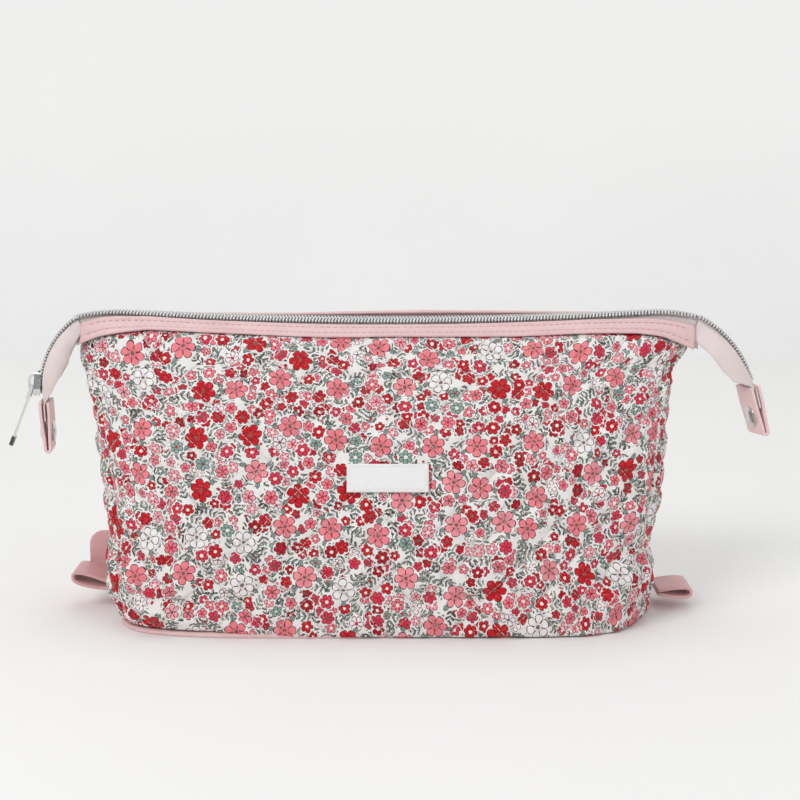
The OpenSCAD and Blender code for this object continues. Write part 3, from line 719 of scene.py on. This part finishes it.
def laid_out(base):
    """Cloth coordinates of a wall, from its middle and its foot, and the distance from its seams."""
    u, w = lengths(base, 1), lengths(base, 0)
    u = u - u[:, [base.shape[1] // 2]]
    side = np.minimum(np.abs(u[:, [0]] - u), np.abs(u[:, [-1]] - u))
    return u, w, np.minimum(side, np.minimum(w, w[[-1]] - w))


def front_shape(label):
    f = SEAM_AT * ACROSS
    base = front_pt(f, V)
    u, w, edge = laid_out(base)
    if label:
        x, z = np.abs(base[..., 0]), np.abs(base[..., 2] - LABEL_UP)
        mark = np.maximum(x - (LABEL_X + LABEL_ROOM), z - (LABEL_Z + LABEL_ROOM))
        edge = np.minimum(edge, np.maximum(mark, 0.3))
    return quilted(base, u, w, edge, front_pt(f, V, WALL_T))


def end_shape():
    g = np.linspace(-1, 1, 69)[None, :]
    base = end_pt(g, V)
    u, w, edge = laid_out(base)
    return quilted(base, u + 215, w, edge, end_pt(g, V, WALL_T))


front, back = front_shape(True), front_shape(False)
back.uv = back.uv * [-1, 1] + [431, 57]
back = back.mapped(mirror_y, flip=True)
for wall, shape in (("front", front), ("back", back)):
    for obj in opens(wall + "_quilt", shape, COTTON, wall + "_panel"):
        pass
for side in ("left", "right"):
    shape = end_shape()
    if side == "left":
        shape.uv = shape.uv * [-1, 1]
        shape = shape.mapped(mirror_x, flip=True)
    obj = rides(side + "_end_quilt", shape.mapped(settle), COTTON, "bag", side + "_end")


# Linings and base

LINING_OUT, LINING_IN, LINING_FOOT = 3.55, 4.15, 0.035


def thin(pt, a, top):
    """Lining of one wall, up to a share of its height."""
    v = np.linspace(LINING_FOOT, top, 40)[:, None]
    outer, inner = pt(a, v, LINING_OUT), pt(a, v, LINING_IN)
    return shell(outer, inner, np.stack([lengths(outer, 1), lengths(outer, 0)], -1))


for wall, flip in (("front", False), ("back", True)):
    across = np.sin(np.linspace(-np.pi / 2, np.pi / 2, 81))[None, :]
    shape = thin(front_pt, SEAM_AT * 0.995 * across, 0.992)
    if flip:
        shape = shape.mapped(mirror_y, flip=True)
    for obj in opens(wall + "_lining_cloth", shape, LINING, wall + "_lining"):
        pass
for side in ("left", "right"):
    shape = thin(end_pt, np.linspace(-0.98, 0.98, 25)[None, :], 0.965)
    if side == "left":
        shape = shape.mapped(mirror_x, flip=True)
    shape = shape.mapped(settle)
    obj = rides(side + "_end_lining_cloth", shape, LINING, "bag", side + "_end_lining")


def oval(grow, z, n=180):
    a = np.linspace(0, 2 * np.pi, n, endpoint=False)
    c, s = np.cos(a), np.sin(a)
    x = (BASE_W / 2 + grow) * np.sign(c) * np.abs(c) ** (2 / PLAN_BASE)
    y = (BASE_D / 2 + grow) * np.sign(s) * np.abs(s) ** (2 / PLAN_BASE)
    return np.stack([x, y, np.full(n, z)], -1)


def plate(profile, share):
    """Flat piece with the bag's plan and a shaped edge, closed by rings down to a share of the plan."""
    rings = [oval(*profile[0]) * [k, k, 1] for k in np.linspace(share, 0.97, 8)]
    rings += [oval(g, z) for g, z in profile]
    rings += [oval(*profile[-1]) * [k, k, 1] for k in np.linspace(0.97, share, 8)]
    rings = np.array(rings)
    shape = tube(rings)
    shape.uv = rings[..., :2].reshape(-1, 2) + 300
    return shape


rim = ((-0.8, 0.0), (-0.25, 0.12), (0, 0.4), (0.1, 0.9), (0, 1.5), (-0.3, 1.9), (-0.8, 2.1))
base = plate([(BASE_LIP + g, z) for g, z in rim], 0.02)
rides("base_sheet", base.mapped(under), PINK, "bag", "base_panel")
floor = plate([(-5.2, 2.75), (-4.8, 3.0), (-5.2, 3.3)], 0.02)
obj = rides("floor_lining_cloth", floor.mapped(tuck), LINING, "bag", "floor_lining")


# Bands, stays, tapes and coils of the mouth

LEFT_SHORT, RIGHT_SHORT, STAY_HALF, BAND_T, TAPE_W, TURNS = 3.0, 2.4, 140, 1.38, 14, 190
BAND_ROWS = (2.1, 6.9)
X = np.linspace(LEFT_SHORT - HALF, HALF - RIGHT_SHORT, 301)


def strip_at(x, s, deep):
    """Points of the band's section: s mm down the band, deep mm into the bag."""
    top, unit, into, _ = band_frame(x)
    yz = top[:, None] + unit[:, None] * s[..., None] + into[:, None] * deep[..., None]
    return np.concatenate([np.broadcast_to(x[:, None, None], yz.shape[:2] + (1,)), yz], -1)


def crown(x, q):
    """How deep the band's face lies, by place along it and share of its width. It bulges out a little."""
    return -0.35 * np.sin(np.pi * q) - 0.12 * np.sin(x / 19 + 1) - 0.1 * np.sin(x / 6.7)


def band_shape():
    _, unit, _, wide = band_frame(X)
    q = np.concatenate([[0.0, 0.012, 0.04], np.linspace(0.09, 0.91, 15), [0.96, 0.988, 1.0]])
    s = wide[:, None] * q
    face = crown(X[:, None], q)
    for row in BAND_ROWS:
        face = face + 0.32 * np.exp(-((s - row) / 0.55) ** 2)
    fold = np.clip(np.minimum(q, 1 - q) / 0.05, 0, 1)
    deep = face * fold + 0.7 * (1 - np.sqrt(1 - (1 - fold) ** 2))
    level = 1.35 * unit[:, 0] / unit[:, 1]
    inner_q = np.array([0.985, 0.9, 0.5, 0.1, 0.015])
    inner_s = wide[:, None] * inner_q - np.clip(level, -2, 2)[:, None] * inner_q
    inner_s = np.minimum(inner_s, wide[:, None] - 0.05)
    rings = np.concatenate([strip_at(X, s, deep), strip_at(X, inner_s, np.full_like(inner_s, BAND_T))], 1)
    across = np.concatenate([s, inner_s + 20], 1)
    return tube(rings[:, ::-1], np.stack([np.broadcast_to(X[:, None], across.shape), across], -1)[:, ::-1])


def capsule(a, b, up, r, sink):
    """A stitch: a short bowed thread from a to b."""
    a, b, up = (np.asarray(k, float) for k in (a, b, up))
    along = (b - a) / np.linalg.norm(b - a)
    across = np.cross(up, along)
    rings = []
    for t, k in ((0, 0.25), (0.12, 0.8), (0.35, 1), (0.65, 1), (0.88, 0.8), (1, 0.25)):
        middle = a + (b - a) * t + up * (r * 0.55 * math.sin(math.pi * t) - sink)
        turns = np.arange(6) * math.pi / 3
        rings.append([middle + (across * math.cos(w) + up * math.sin(w)) * r * k for w in turns])
    return tube(np.array(rings))


def stitches(points, ups, pitch, r, sink=0.05, share=0.76):
    """A row of stitches along a path of close points."""
    way = lengths(points, 0)
    total = way[-1]
    count = int(total // pitch)
    at = (total - count * pitch) / 2

    def place(t, values):
        return np.array([np.interp(t, way, values[:, k]) for k in range(3)])

    parts = []
    for i in range(count):
        first, last = (at + (i + (1 + k * share) / 2) * pitch for k in (-1, 1))
        up = place(first, ups)
        parts.append(capsule(place(first, points), place(last, points), up / np.linalg.norm(up), r, sink))
    return joined(parts)


def band_stitches():
    x = np.linspace(X[0] + 2.5, X[-1] - 2.5, 400)
    _, _, into, wide = band_frame(x)
    rows = []
    for row in BAND_ROWS:
        deep = crown(x, row / wide) + 0.3
        points = strip_at(x, np.full((len(x), 1), row), deep[:, None])[:, 0]
        ups = np.concatenate([np.zeros((len(x), 1)), -into], 1)
        rows.append(stitches(points, ups, 3.0, 0.24))
    return joined(rows)


def stay_shape():
    x = np.linspace(-STAY_HALF, STAY_HALF, 121)
    wide = band_frame(x)[3]
    s = wide[:, None] * np.array([0.36, 0.355, 0.37, 0.55, 0.73, 0.745, 0.74, 0.73, 0.55, 0.37])
    deep = np.array([1.95, 2.1, 2.26, 2.26, 2.26, 2.1, 1.95, 1.74, 1.74, 1.74])
    return tube(strip_at(x, s, np.broadcast_to(deep, s.shape)))


def tape_shape():
    x = np.linspace(0.1 - HALF, HALF - 0.1, 201)
    wide = band_frame(x)[3]
    low = strip_at(x, wide[:, None] * 0.85, np.full((len(x), 1), 3.05))[:, 0]
    high = np.stack([x, np.full_like(x, -TAPE_Y), np.full_like(x, ZIP_Z)], -1)
    run = low - high
    n = np.stack([np.zeros_like(x), -run[:, 2], run[:, 1]], -1)
    n /= np.linalg.norm(n, axis=1)[:, None]
    n *= np.sign(n[:, [2]])
    ts = np.array([0.0, 0.02, 0.15, 0.3, 0.5, 0.75, 1.0])
    face = np.array([-0.35, -0.08, 0, 0, 0, 0, 0])
    underside = np.array([0.7, 0.7, 0.7, 0.7, 0.7, 0.62, 0.4])
    upper = high[:, None] + run[:, None] * ts[:, None] + n[:, None] * face[:, None]
    lower = high[:, None] + run[:, None] * ts[::-1, None] - n[:, None] * underside[:, None]
    rings = np.concatenate([upper, lower], 1)
    wide_uv = np.concatenate([ts * TAPE_W, 20 + ts * TAPE_W])
    return tube(rings[:, ::-1], np.stack(np.meshgrid(x, wide_uv, indexing="ij"), -1)[:, ::-1])


# One turn of a coil, front half: along, across and out, and half its width along the zip
TURN = np.array([
    (-0.70, -2.62, 0.42, 0.44), (-0.76, -2.98, 0.92, 0.5), (-0.70, -2.80, 1.62, 0.52),
    (-0.50, -2.10, 1.92, 0.52), (-0.16, -1.00, 1.97, 0.46), (0.14, 0.05, 1.92, 0.39),
    (0.24, 0.62, 1.60, 0.36), (0.24, 0.76, 1.12, 0.36), (0.16, 0.55, 0.60, 0.36),
    (-0.08, -0.35, 0.42, 0.38), (-0.40, -1.60, 0.40, 0.42),
])
# Height of the coil over the tape, and the middle and half size of the cord in it
COIL_UP, CORE_Y, CORE_Z, CORE_A, CORE_B = 0.05, -2.05, 1.14, 0.5, 0.46


def turn_rings(mirror, slim=0.34):
    """One turn of a coil as rings (along, across, out)."""
    path = TURN[:, :3] * [1, -1 if mirror else 1, 1]
    rings = []
    for i, p in enumerate(path):
        d = path[min(i + 1, len(path) - 1)] - path[max(i - 1, 0)]
        d /= np.linalg.norm(d)
        a = np.cross(d, [1.0, 0, 0])
        a /= np.linalg.norm(a)
        b = np.cross(d, a) * TURN[i, 3]
        rings.append([p + slim * a * math.cos(w) + b * math.sin(w) for w in np.arange(8) * math.pi / 4])
    return np.array(rings)


def coil_row(starts, mirror, place):
    """Turns of one half of the coil, and the cord that they are wound round."""
    rings = turn_rings(mirror)
    parts = []
    for s in starts:
        moved = rings + [s, 0, 0.0]
        parts.append(tube(place(moved[..., 0], moved[..., 1], moved[..., 2])))
    core = np.linspace(starts[0] - 0.4, starts[-1] + 0.4, max(12, len(starts)))
    w = np.arange(8) * math.pi / 4
    y = (CORE_Y + CORE_A * np.cos(w)) * (-1 if mirror else 1)
    h = CORE_Z + CORE_B * np.sin(w)
    return joined(parts), tube(place(*np.broadcast_arrays(core[:, None], y, h)))


def straight(s, y, h):
    return np.stack([s, y, ZIP_Z + COIL_UP + h], -1)


def proud(v):
    """The back band's upper edge stands up a little behind the zip."""
    rise = 2.6 * np.exp(-((v[:, 0] - 20) / 75) ** 2) * ramp_up(v[:, 2], 133, 140)
    return v + np.stack([0 * rise, 0 * rise, rise], -1)


turns = (np.arange(TURNS) - (TURNS / 2 - 0.25)) * PITCH
for wall, sign in (("front", 1), ("back", -1)):
    for name, build, material, node, slot in (
        ("band_strip", band_shape, PINK, "band", "leatherette"),
        ("band_stitching", band_stitches, THREAD, "band", "leatherette"),
        ("stay_strip", stay_shape, STAY, "stay", "stay"),
        ("zip_tape", tape_shape, TAPE, "tape", "tape"),
    ):
        shape = build()
        if sign < 0:
            shape = shape.mapped(mirror_y, flip=True)
            shape = shape.mapped(proud) if node == "band" else shape
        opens(f"{wall}_{name}", shape, material, f"{wall}_{node}")
    shape, core = coil_row(turns + (0 if sign > 0 else PITCH / 2), sign < 0, straight)
    opens(wall + "_zip_coil", shape, COIL, wall + "_coil")
    # The cord's dark grey is painted shade between the turns.
    opens(wall + "_zip_core", core, CORE_PAINTED_SHADE, wall + "_coil")


# Zip ends

# Shares of the way from corner to tab, how deep the front and back leaves hang there, and their curl
LEAF_AT = (0, 0.2, 0.45, 0.65, 0.86, 1.04)
LEAF_FALL = {
    "left": ((5.4, 8.2, 10.4, 9.2, 5.4, 0), (6.0, 7.0, 7.6, 6.0, 3.6, 0)),
    "right": ((9.0, 10.4, 10.8, 10.6, 9.4, 0), (7.0, 8.0, 8.2, 7.6, 5.6, 0)),
}
LEAF_CURL = {"left": (62.0, 0.0), "right": (0.0, 0.0)}
# Half the gap between the leaves, width of the flat ledge under the coil, and its share of the leaf
LEAF_GAP, LEDGE, LEDGE_Q = 1.2, 4.7, 0.25


def wing_tape(side):
    """Free tapes of a zip end: they hang over as two curved leaves and run flat into the tab."""
    long = bend_length(side)
    s = np.concatenate([np.linspace(-0.3, long, 60), long + np.linspace(0.6, TAIL_L, 12)])
    t = np.clip(s / long, 0, 1)[:, None]
    q = np.linspace(0, 1, 23)
    parts = []
    near_tab = (s / (long + TAB_GAP[side]))[:, None]
    for sign, deep, curl in zip((-1, 1), LEAF_FALL[side], LEAF_CURL[side]):
        fall = np.interp(near_tab, LEAF_AT, deep)
        reach = 5.0 + 5.4 * ramp_up(t, 0, 0.2 if side == "left" else 0.4) - 1.9 * ramp_up(t, 0.6, 1)
        ledge = LEDGE * (ramp_up(t, 0.0, 0.1) if side == "left" else ramp_up(t, 0.35, 0.6))
        most = np.radians(90 + curl * ramp_up(t, 0.05, 0.3) * (1 - ramp_up(t, 0.6, 0.9)))
        turn = np.clip((q - LEDGE_Q) / (1 - LEDGE_Q), 0, 1) * most
        flat = LEAF_GAP + ledge * np.clip(q / LEDGE_Q, 0, 1)
        y = flat + (reach - LEAF_GAP - ledge) * np.sin(turn) + 0.002 * q
        ripple = 0.2 * np.sin(s / 3.1)[:, None] * q * (1 - ramp_up(t, 0.6, 1))
        drop = fall * (1 - np.cos(turn)) / (1 - np.cos(most)) + ripple
        dy, dd = np.gradient(y, axis=1), np.gradient(drop, axis=1)
        size = np.hypot(dy, dd)
        edge = 0.7 * np.clip((1 - q) / 0.06, 0.3, 1)
        upper = on_bend(side, s[:, None], sign * y, -drop)
        lower = on_bend(side, s[:, None], sign * (y - edge * dd / size), -drop - edge * dy / size)
        rings = np.concatenate([upper, lower[:, ::-1]], 1)
        uv = np.stack(np.meshgrid(s, np.concatenate([q * TAPE_W, TAPE_W + q * TAPE_W]), indexing="ij"), -1)
        keep = (sign < 0) == (side == "left")
        parts.append(tube(rings if keep else rings[:, ::-1], uv if keep else uv[:, ::-1]))
    return joined(parts)


def leaf_at(a):
    """Half the way between the middles of a tab's two leaves, a mm from its open end."""
    return 1.9 - 0.75 * ramp_up(a, 6, 23)


def tab_shape(side):
    """Strip folded round the zip end; each leaf is itself turned, so its edges show a groove."""
    long = bend_length(side)
    straight_l = TAB_L - TAPE_T / 2 - FIT - STRAP_T
    a = np.linspace(0, straight_l, 20)
    gap = leaf_at(a)
    w = np.linspace(-np.pi / 2, np.pi / 2, 11)[1:-1]
    path = np.concatenate([
        np.stack([a, -gap], -1), np.stack([straight_l + gap[-1] * np.cos(w), gap[-1] * np.sin(w)], -1),
        np.stack([a[::-1], gap[::-1]], -1),
    ])
    d = np.gradient(path, axis=0)
    d /= np.linalg.norm(d, axis=1)[:, None]
    n = np.stack([d[:, 1], -d[:, 0]], -1)
    half = TAB_W / 2
    edge = [
        (-half + 0.5, 0.72), (-half + 0.08, 0.5), (-half, 0.28), (-half + 0.3, 0.03),
        (-half + 0.3, -0.03), (-half, -0.28), (-half + 0.08, -0.5), (-half + 0.5, -0.72),
    ]
    section = edge + [(-half * 0.8, -0.72), (0, -0.7), (half * 0.8, -0.72)]
    section += [(-y, t) for y, t in edge[::-1]] + [(half * 0.8, 0.72), (0, 0.75), (-half * 0.8, 0.72)]
    section = np.array(section)
    rings = path[:, None] + n[:, None] * section[None, :, 1, None]
    y = np.broadcast_to(section[:, 0], rings.shape[:2])
    placed = on_bend(side, long + TAB_GAP[side] + rings[..., 0], y, rings[..., 1] - TAPE_T / 2)
    return tube(placed if side == "left" else placed[:, ::-1])


def lathe(profile, n=40):
    """Rings of a turned piece from its radii and heights."""
    w = np.arange(n) * 2 * math.pi / n
    r, z = (np.array(k, float)[:, None] for k in zip(*profile))
    return np.stack(np.broadcast_arrays(r * np.cos(w), r * np.sin(w), z), -1)


def rivet(side, face):
    """Domed cap with a rolled rim, on one face of a tab, and its shank."""
    half = RIVET_D / 2
    shank = 1.85 if face > 0 else 1.1
    profile = [
        (0.02, -0.9), (shank, -0.9), (shank, 0), (half - 0.6, 0), (half - 0.2, 0.02), (half, 0.28),
        (half - 0.12, 0.55), (half - 0.55, 0.72), (half - 0.95, 0.66), (half - 1.3, 0.82),
        (half * 0.5, 1.38), (half * 0.25, 1.55), (0.02, 1.6),
    ]
    rings = lathe(profile)
    s = bend_length(side) + TAB_GAP[side] + RIVET_AT + rings[..., 0]
    high = TAPE_T / 2 + FIT + STRAP_T + rings[..., 2]
    placed = on_bend(side, s, rings[..., 1], face * high - TAPE_T / 2)
    return tube(placed if (side == "left") == (face < 0) else placed[:, ::-1])


def lifts(name, shape, material, side, node):
    """Piece of a zip end, made in place; it stands for one imported part of the wing."""
    obj = make(name, shape, material)
    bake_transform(obj)
    stands_for(obj, f"{side}_wing_{node}")


for side, short in (("left", 6.0), ("right", 1.0)):
    body = side + "_wing"
    lifts(side + "_wing_cloth", wing_tape(side), TAPE, side, "tape")
    starts = np.arange(0.3, bend_length(side) - short, PITCH)
    for half, shift in (("front", 0), ("back", PITCH / 2)):
        rows = coil_row(starts + shift, half == "back", lambda s, y, h: on_bend(side, s, y, h + COIL_UP))
        # The cords are dark grey: painted shade between the turns.
        for what, shape, material in zip(("coil", "core"), rows, (COIL, CORE_PAINTED_SHADE)):
            if side == "left":
                shape = shape.mapped(np.copy, flip=True)
            lifts(f"{side}_wing_zip_{what}_{half}", shape, material, side, "coil")
    # The tabs use the lightened pink: painted light.
    rides(side + "_tab_fold", tab_shape(side), TAB_PINK_PAINTED_LIGHT, body, side + "_tab")
    rides(side + "_rivet_dome", rivet(side, 1), STEEL, body, side + "_rivet_cap")
    rides(side + "_rivet_back", rivet(side, -1), STEEL, body, side + "_rivet_post")


# Slider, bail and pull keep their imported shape, with eased edges
for name, ease, material in (("slider", 0.22, STEEL), ("slider_bail", 0.2, STEEL), ("pull", 0.2, PULL)):
    obj = nodes[name]
    obj.data.materials.clear()
    obj.data.materials.append(material)
    bevel = obj.modifiers.new("ease", "BEVEL")
    bevel.width = ease * MM
    bevel.segments = 2
    bevel.limit_method = "ANGLE"
    bevel.harden_normals = True


# Straps

def curve(points, n):
    t = np.linspace(0, 1, n)[:, None]
    return bez([np.array(p, float)[None] for p in points], t)


def strap(path, wide, thick):
    """Strip along a path in (out, up), wide across y, with turned edges."""
    d = np.gradient(path, axis=0)
    d /= np.linalg.norm(d, axis=1)[:, None]
    n = np.stack([-d[:, 1], d[:, 0]], -1)
    half, t = wide / 2, thick / 2
    section = [
        (-half + 0.5, t), (-half + 0.1, t * 0.7), (-half, 0.15),
        (-half, -0.15), (-half + 0.1, -t * 0.7), (-half + 0.5, -t),
    ]
    across = np.linspace(-half + 1.5, half - 1.5, 9)
    section += [(y, -t * (0.92 if abs(y) > half - 2.6 else 1)) for y in across]
    section = np.array(section + [(-y, -h) for y, h in section])
    place = path[:, None] + n[:, None] * section[None, :, 1, None]
    y = np.broadcast_to(section[:, 0], place.shape[:2])
    rings = np.stack([place[..., 0], y, place[..., 1]], -1)
    return tube(rings[:, ::-1])


def end_at(v, out):
    p = end_pt(0.0, v)
    return np.array([p[0] + out, p[2]])


root = end_at(LOOP_V, STRAP_T + FIT)
UPRIGHT_OUT = 17.6


def upright(out):
    """The left strap's leaf that turns up along its back edge: flat, with rounded edges."""
    leaf = out[4:][out[4:, 0] < UPRIGHT_OUT] + root
    top = end_at(STRAP_V, FIT)
    a = np.linspace(0, np.pi / 2, 12)
    corner = np.array([leaf[-1][0], top[1]]) + STRAP_R * np.stack([np.cos(a) - 1, np.sin(a) - 1], -1)
    edge = np.array([end_at(v, FIT) for v in np.linspace(STRAP_V, LOOP_V, 24)])
    edge = edge[edge[:, 1] > leaf[0][1] + 0.4]
    outline = np.concatenate([leaf, corner, edge])
    way = np.roll(outline, -1, 0) - np.roll(outline, 1, 0)
    inward = np.stack([-way[:, 1], way[:, 0]], -1) / np.linalg.norm(way, axis=1)[:, None]
    rings = []
    for inset, y in ((0.6, 9.5), (0.2, 9.6), (0, 9.9), (0, 10.6), (0.2, 10.9), (0.6, 11.0)):
        p = outline + inward * inset
        rings.append(np.stack([p[:, 0], np.full(len(p), y), p[:, 1]], -1))
    return tube(np.array(rings))


def loop(long, swell, tilt, up):
    """Upper half of the loop's path from its root, and the loop. It rises outward by its tilt."""
    half = curve([(0, STRAP_T / 2), (long / 2, swell), (long * 1.04, 1.4 * swell), (long, 0)], 34)
    path = np.concatenate([half, half[-2::-1] * [1, -1]])
    path[:, 1] += up + tilt * path[:, 0]
    half = path[:len(half)]
    return half, strap(path + root, STRAP_W, STRAP_T)


half, shape = loop(22.2, 3.0, 0.24, 2.4)
rides("left_strap", shape.mapped(mirror_x, flip=True), DUSK, "bag", "left_handle")
rides("left_strap_leaf", upright(half).mapped(mirror_x), DUSK, "bag", "left_handle")
half, shape = loop(16.0, 2.4, 0.0, 0.0)
rides("right_loop_strip", shape, DUSK, "loop", "right_loop")


# Label

ROW_IN = 1.2


def label_shapes():
    below, middle, above = (front_pt(0.0, LABEL_V + k) for k in (-0.03, 0, 0.03))
    lean = math.atan2(above[1] - below[1], above[2] - below[2])
    right, up = np.array([1.0, 0, 0]), np.array([0, math.sin(lean), math.cos(lean)])
    out = np.array([0, -math.cos(lean), math.sin(lean)])

    def at(x, z, h):
        return middle + x[..., None] * right + z[..., None] * up + h[..., None] * out

    a = np.linspace(-1, 1, 75)[None, :]
    b = np.linspace(-1, 1, 27)[:, None]
    x, z = LABEL_X * a + 0 * b, LABEL_Z * b + 0 * a
    lip = np.minimum(LABEL_X - np.abs(x), LABEL_Z - np.abs(z))
    high = 1.42 - 0.5 * np.exp(-lip / 0.25) - 0.3 * np.exp(-((lip - 1.3) / 0.3) ** 2)
    body = shell(at(x, z, high), at(x, z, 0 * x + 0.32), np.stack([x, z], -1))
    t = np.linspace(0, 1, 60)
    p, q = LABEL_X - ROW_IN, LABEL_Z - ROW_IN
    rows = []
    for x, z in (
        (-p + 2 * p * t, 0 * t - q), (0 * t + p, -q + 2 * q * t),
        (p - 2 * p * t, 0 * t + q), (0 * t - p, q - 2 * q * t),
    ):
        points = at(x, z, 0 * x + 1.27)
        rows.append(stitches(points, np.broadcast_to(out, points.shape).copy(), 2.2, 0.16, 0.02))
    return body, joined(rows)


body, rows = label_shapes()
opens("label_patch", body, LABEL, "label")
opens("label_stitching", rows, PALE_THREAD, "label")


# Studio

FLOOR_X, FLOOR_Y, SWEEP_R, SWEEP_TOP = 2500.0, 900.0, 300.0, 2600.0


def stage_material(name, colour, seen=None):
    """Pale studio paint. A seen colour is what the camera and reflections see up the backdrop."""
    net = Net(name, Roughness=0.9, Specular_IOR_Level=0.1)
    where = net.space()
    tone = net.noise(where, 220.0, 2)
    net.done(net.tones(tone, 0.3, 0.7, [c - 2 for c in colour], colour))
    if seen:
        path = net.add("LightPath").node
        direct = [path.outputs[f"Is {kind} Ray"] for kind in ("Camera", "Glossy", "Transmission")]
        direct = net.m("MAXIMUM", net.m("MAXIMUM", direct[0], direct[1]), direct[2])
        rise = net.m("MULTIPLY", net.add("SeparateXYZ", where, out=2), 1 / 260, clamp=True)
        glow = net.add("Emission", net.tones(tone, 0.3, 0.7, [c - 1 for c in seen], seen))
        both = net.add("MixShader", net.m("MULTIPLY", direct, rise), net.bsdf.outputs[0], glow)
        net.tree.links.new(both, net.tree.nodes["Material Output"].inputs["Surface"])
    return net.mat


corners = [(-FLOOR_X, -FLOOR_X, 0), (FLOOR_X, -FLOOR_X, 0), (FLOOR_X, FLOOR_Y, 0), (-FLOOR_X, FLOOR_Y, 0)]
paint = stage_material("studio_floor", (248, 247, 245))
stand = make("studio_floor", Shape(corners, [(0, 1, 2, 3)]), paint)
bow = np.linspace(0.1, math.pi / 2, 12)
arc = [(FLOOR_Y + SWEEP_R * math.sin(a), SWEEP_R - SWEEP_R * math.cos(a)) for a in bow]
arc = [(FLOOR_Y, 0)] + arc + [(FLOOR_Y + SWEEP_R, SWEEP_TOP)]
sweep = np.array([[(x, y, z) for y, z in arc] for x in (-FLOOR_X, FLOOR_X)])
paint = stage_material("studio_backdrop", (248, 248, 246), (240, 240, 239))
drop = make("studio_backdrop", Shape(sweep, grid_faces(*sweep.shape[:2])), paint)


def look(obj, aim):
    obj.rotation_euler = (Vector(aim) - Vector(obj.location)).to_track_quat("-Z", "Y").to_euler()


def lamp(name, place, aim, size, power):
    data = bpy.data.lights.new(name, "AREA")
    data.size = size
    data.energy = power
    obj = bpy.data.objects.new(name, data)
    bpy.context.scene.collection.objects.link(obj)
    obj.location = place
    look(obj, aim)


# Lamps and camera, in metres
CAMERA_AT, CAMERA_DOWN = (0.0055, -0.774, 0.228), 9.31
lamp("key", (-1.1, -1.5, 1.5), (0, 0, 0.07), 0.9, 21)
lamp("fill", (1.4, -1.2, 0.9), (0, 0, 0.07), 1.2, 5)
lamp("top", (0.0, 0.3, 1.8), (0, 0, 0.05), 1.2, 7)
world = bpy.data.worlds.new("studio")
world.use_nodes = True
sky = world.node_tree
rise = sky.nodes.new("ShaderNodeSeparateXYZ")
sky.links.new(sky.nodes.new("ShaderNodeTexCoord").outputs["Generated"], rise.inputs[0])
band = sky.nodes.new("ShaderNodeValToRGB")
band.color_ramp.elements.remove(band.color_ramp.elements[0])
for at, grey in ((0.0, 0.44), (0.04, 0.2), (0.12, 0.22), (0.3, 0.44), (0.7, 0.5)):
    element = band.color_ramp.elements.new(at)
    element.color = (0.95 * grey, 0.97 * grey, grey, 1)
band.color_ramp.elements.remove(band.color_ramp.elements[-1])
sky.links.new(rise.outputs["Z"], band.inputs[0])
sky.links.new(band.outputs[0], sky.nodes["Background"].inputs[0])
bpy.context.scene.world = world
bpy.context.scene.view_settings.view_transform = "Standard"

data = bpy.data.cameras.new("camera")
data.sensor_width = 36
data.lens = 73.5
data.clip_start = 0.05
camera = bpy.data.objects.new("camera", data)
bpy.context.scene.collection.objects.link(camera)
camera.location = CAMERA_AT
camera.rotation_euler = (math.radians(90 - CAMERA_DOWN), 0, 0)
bpy.context.scene.camera = camera
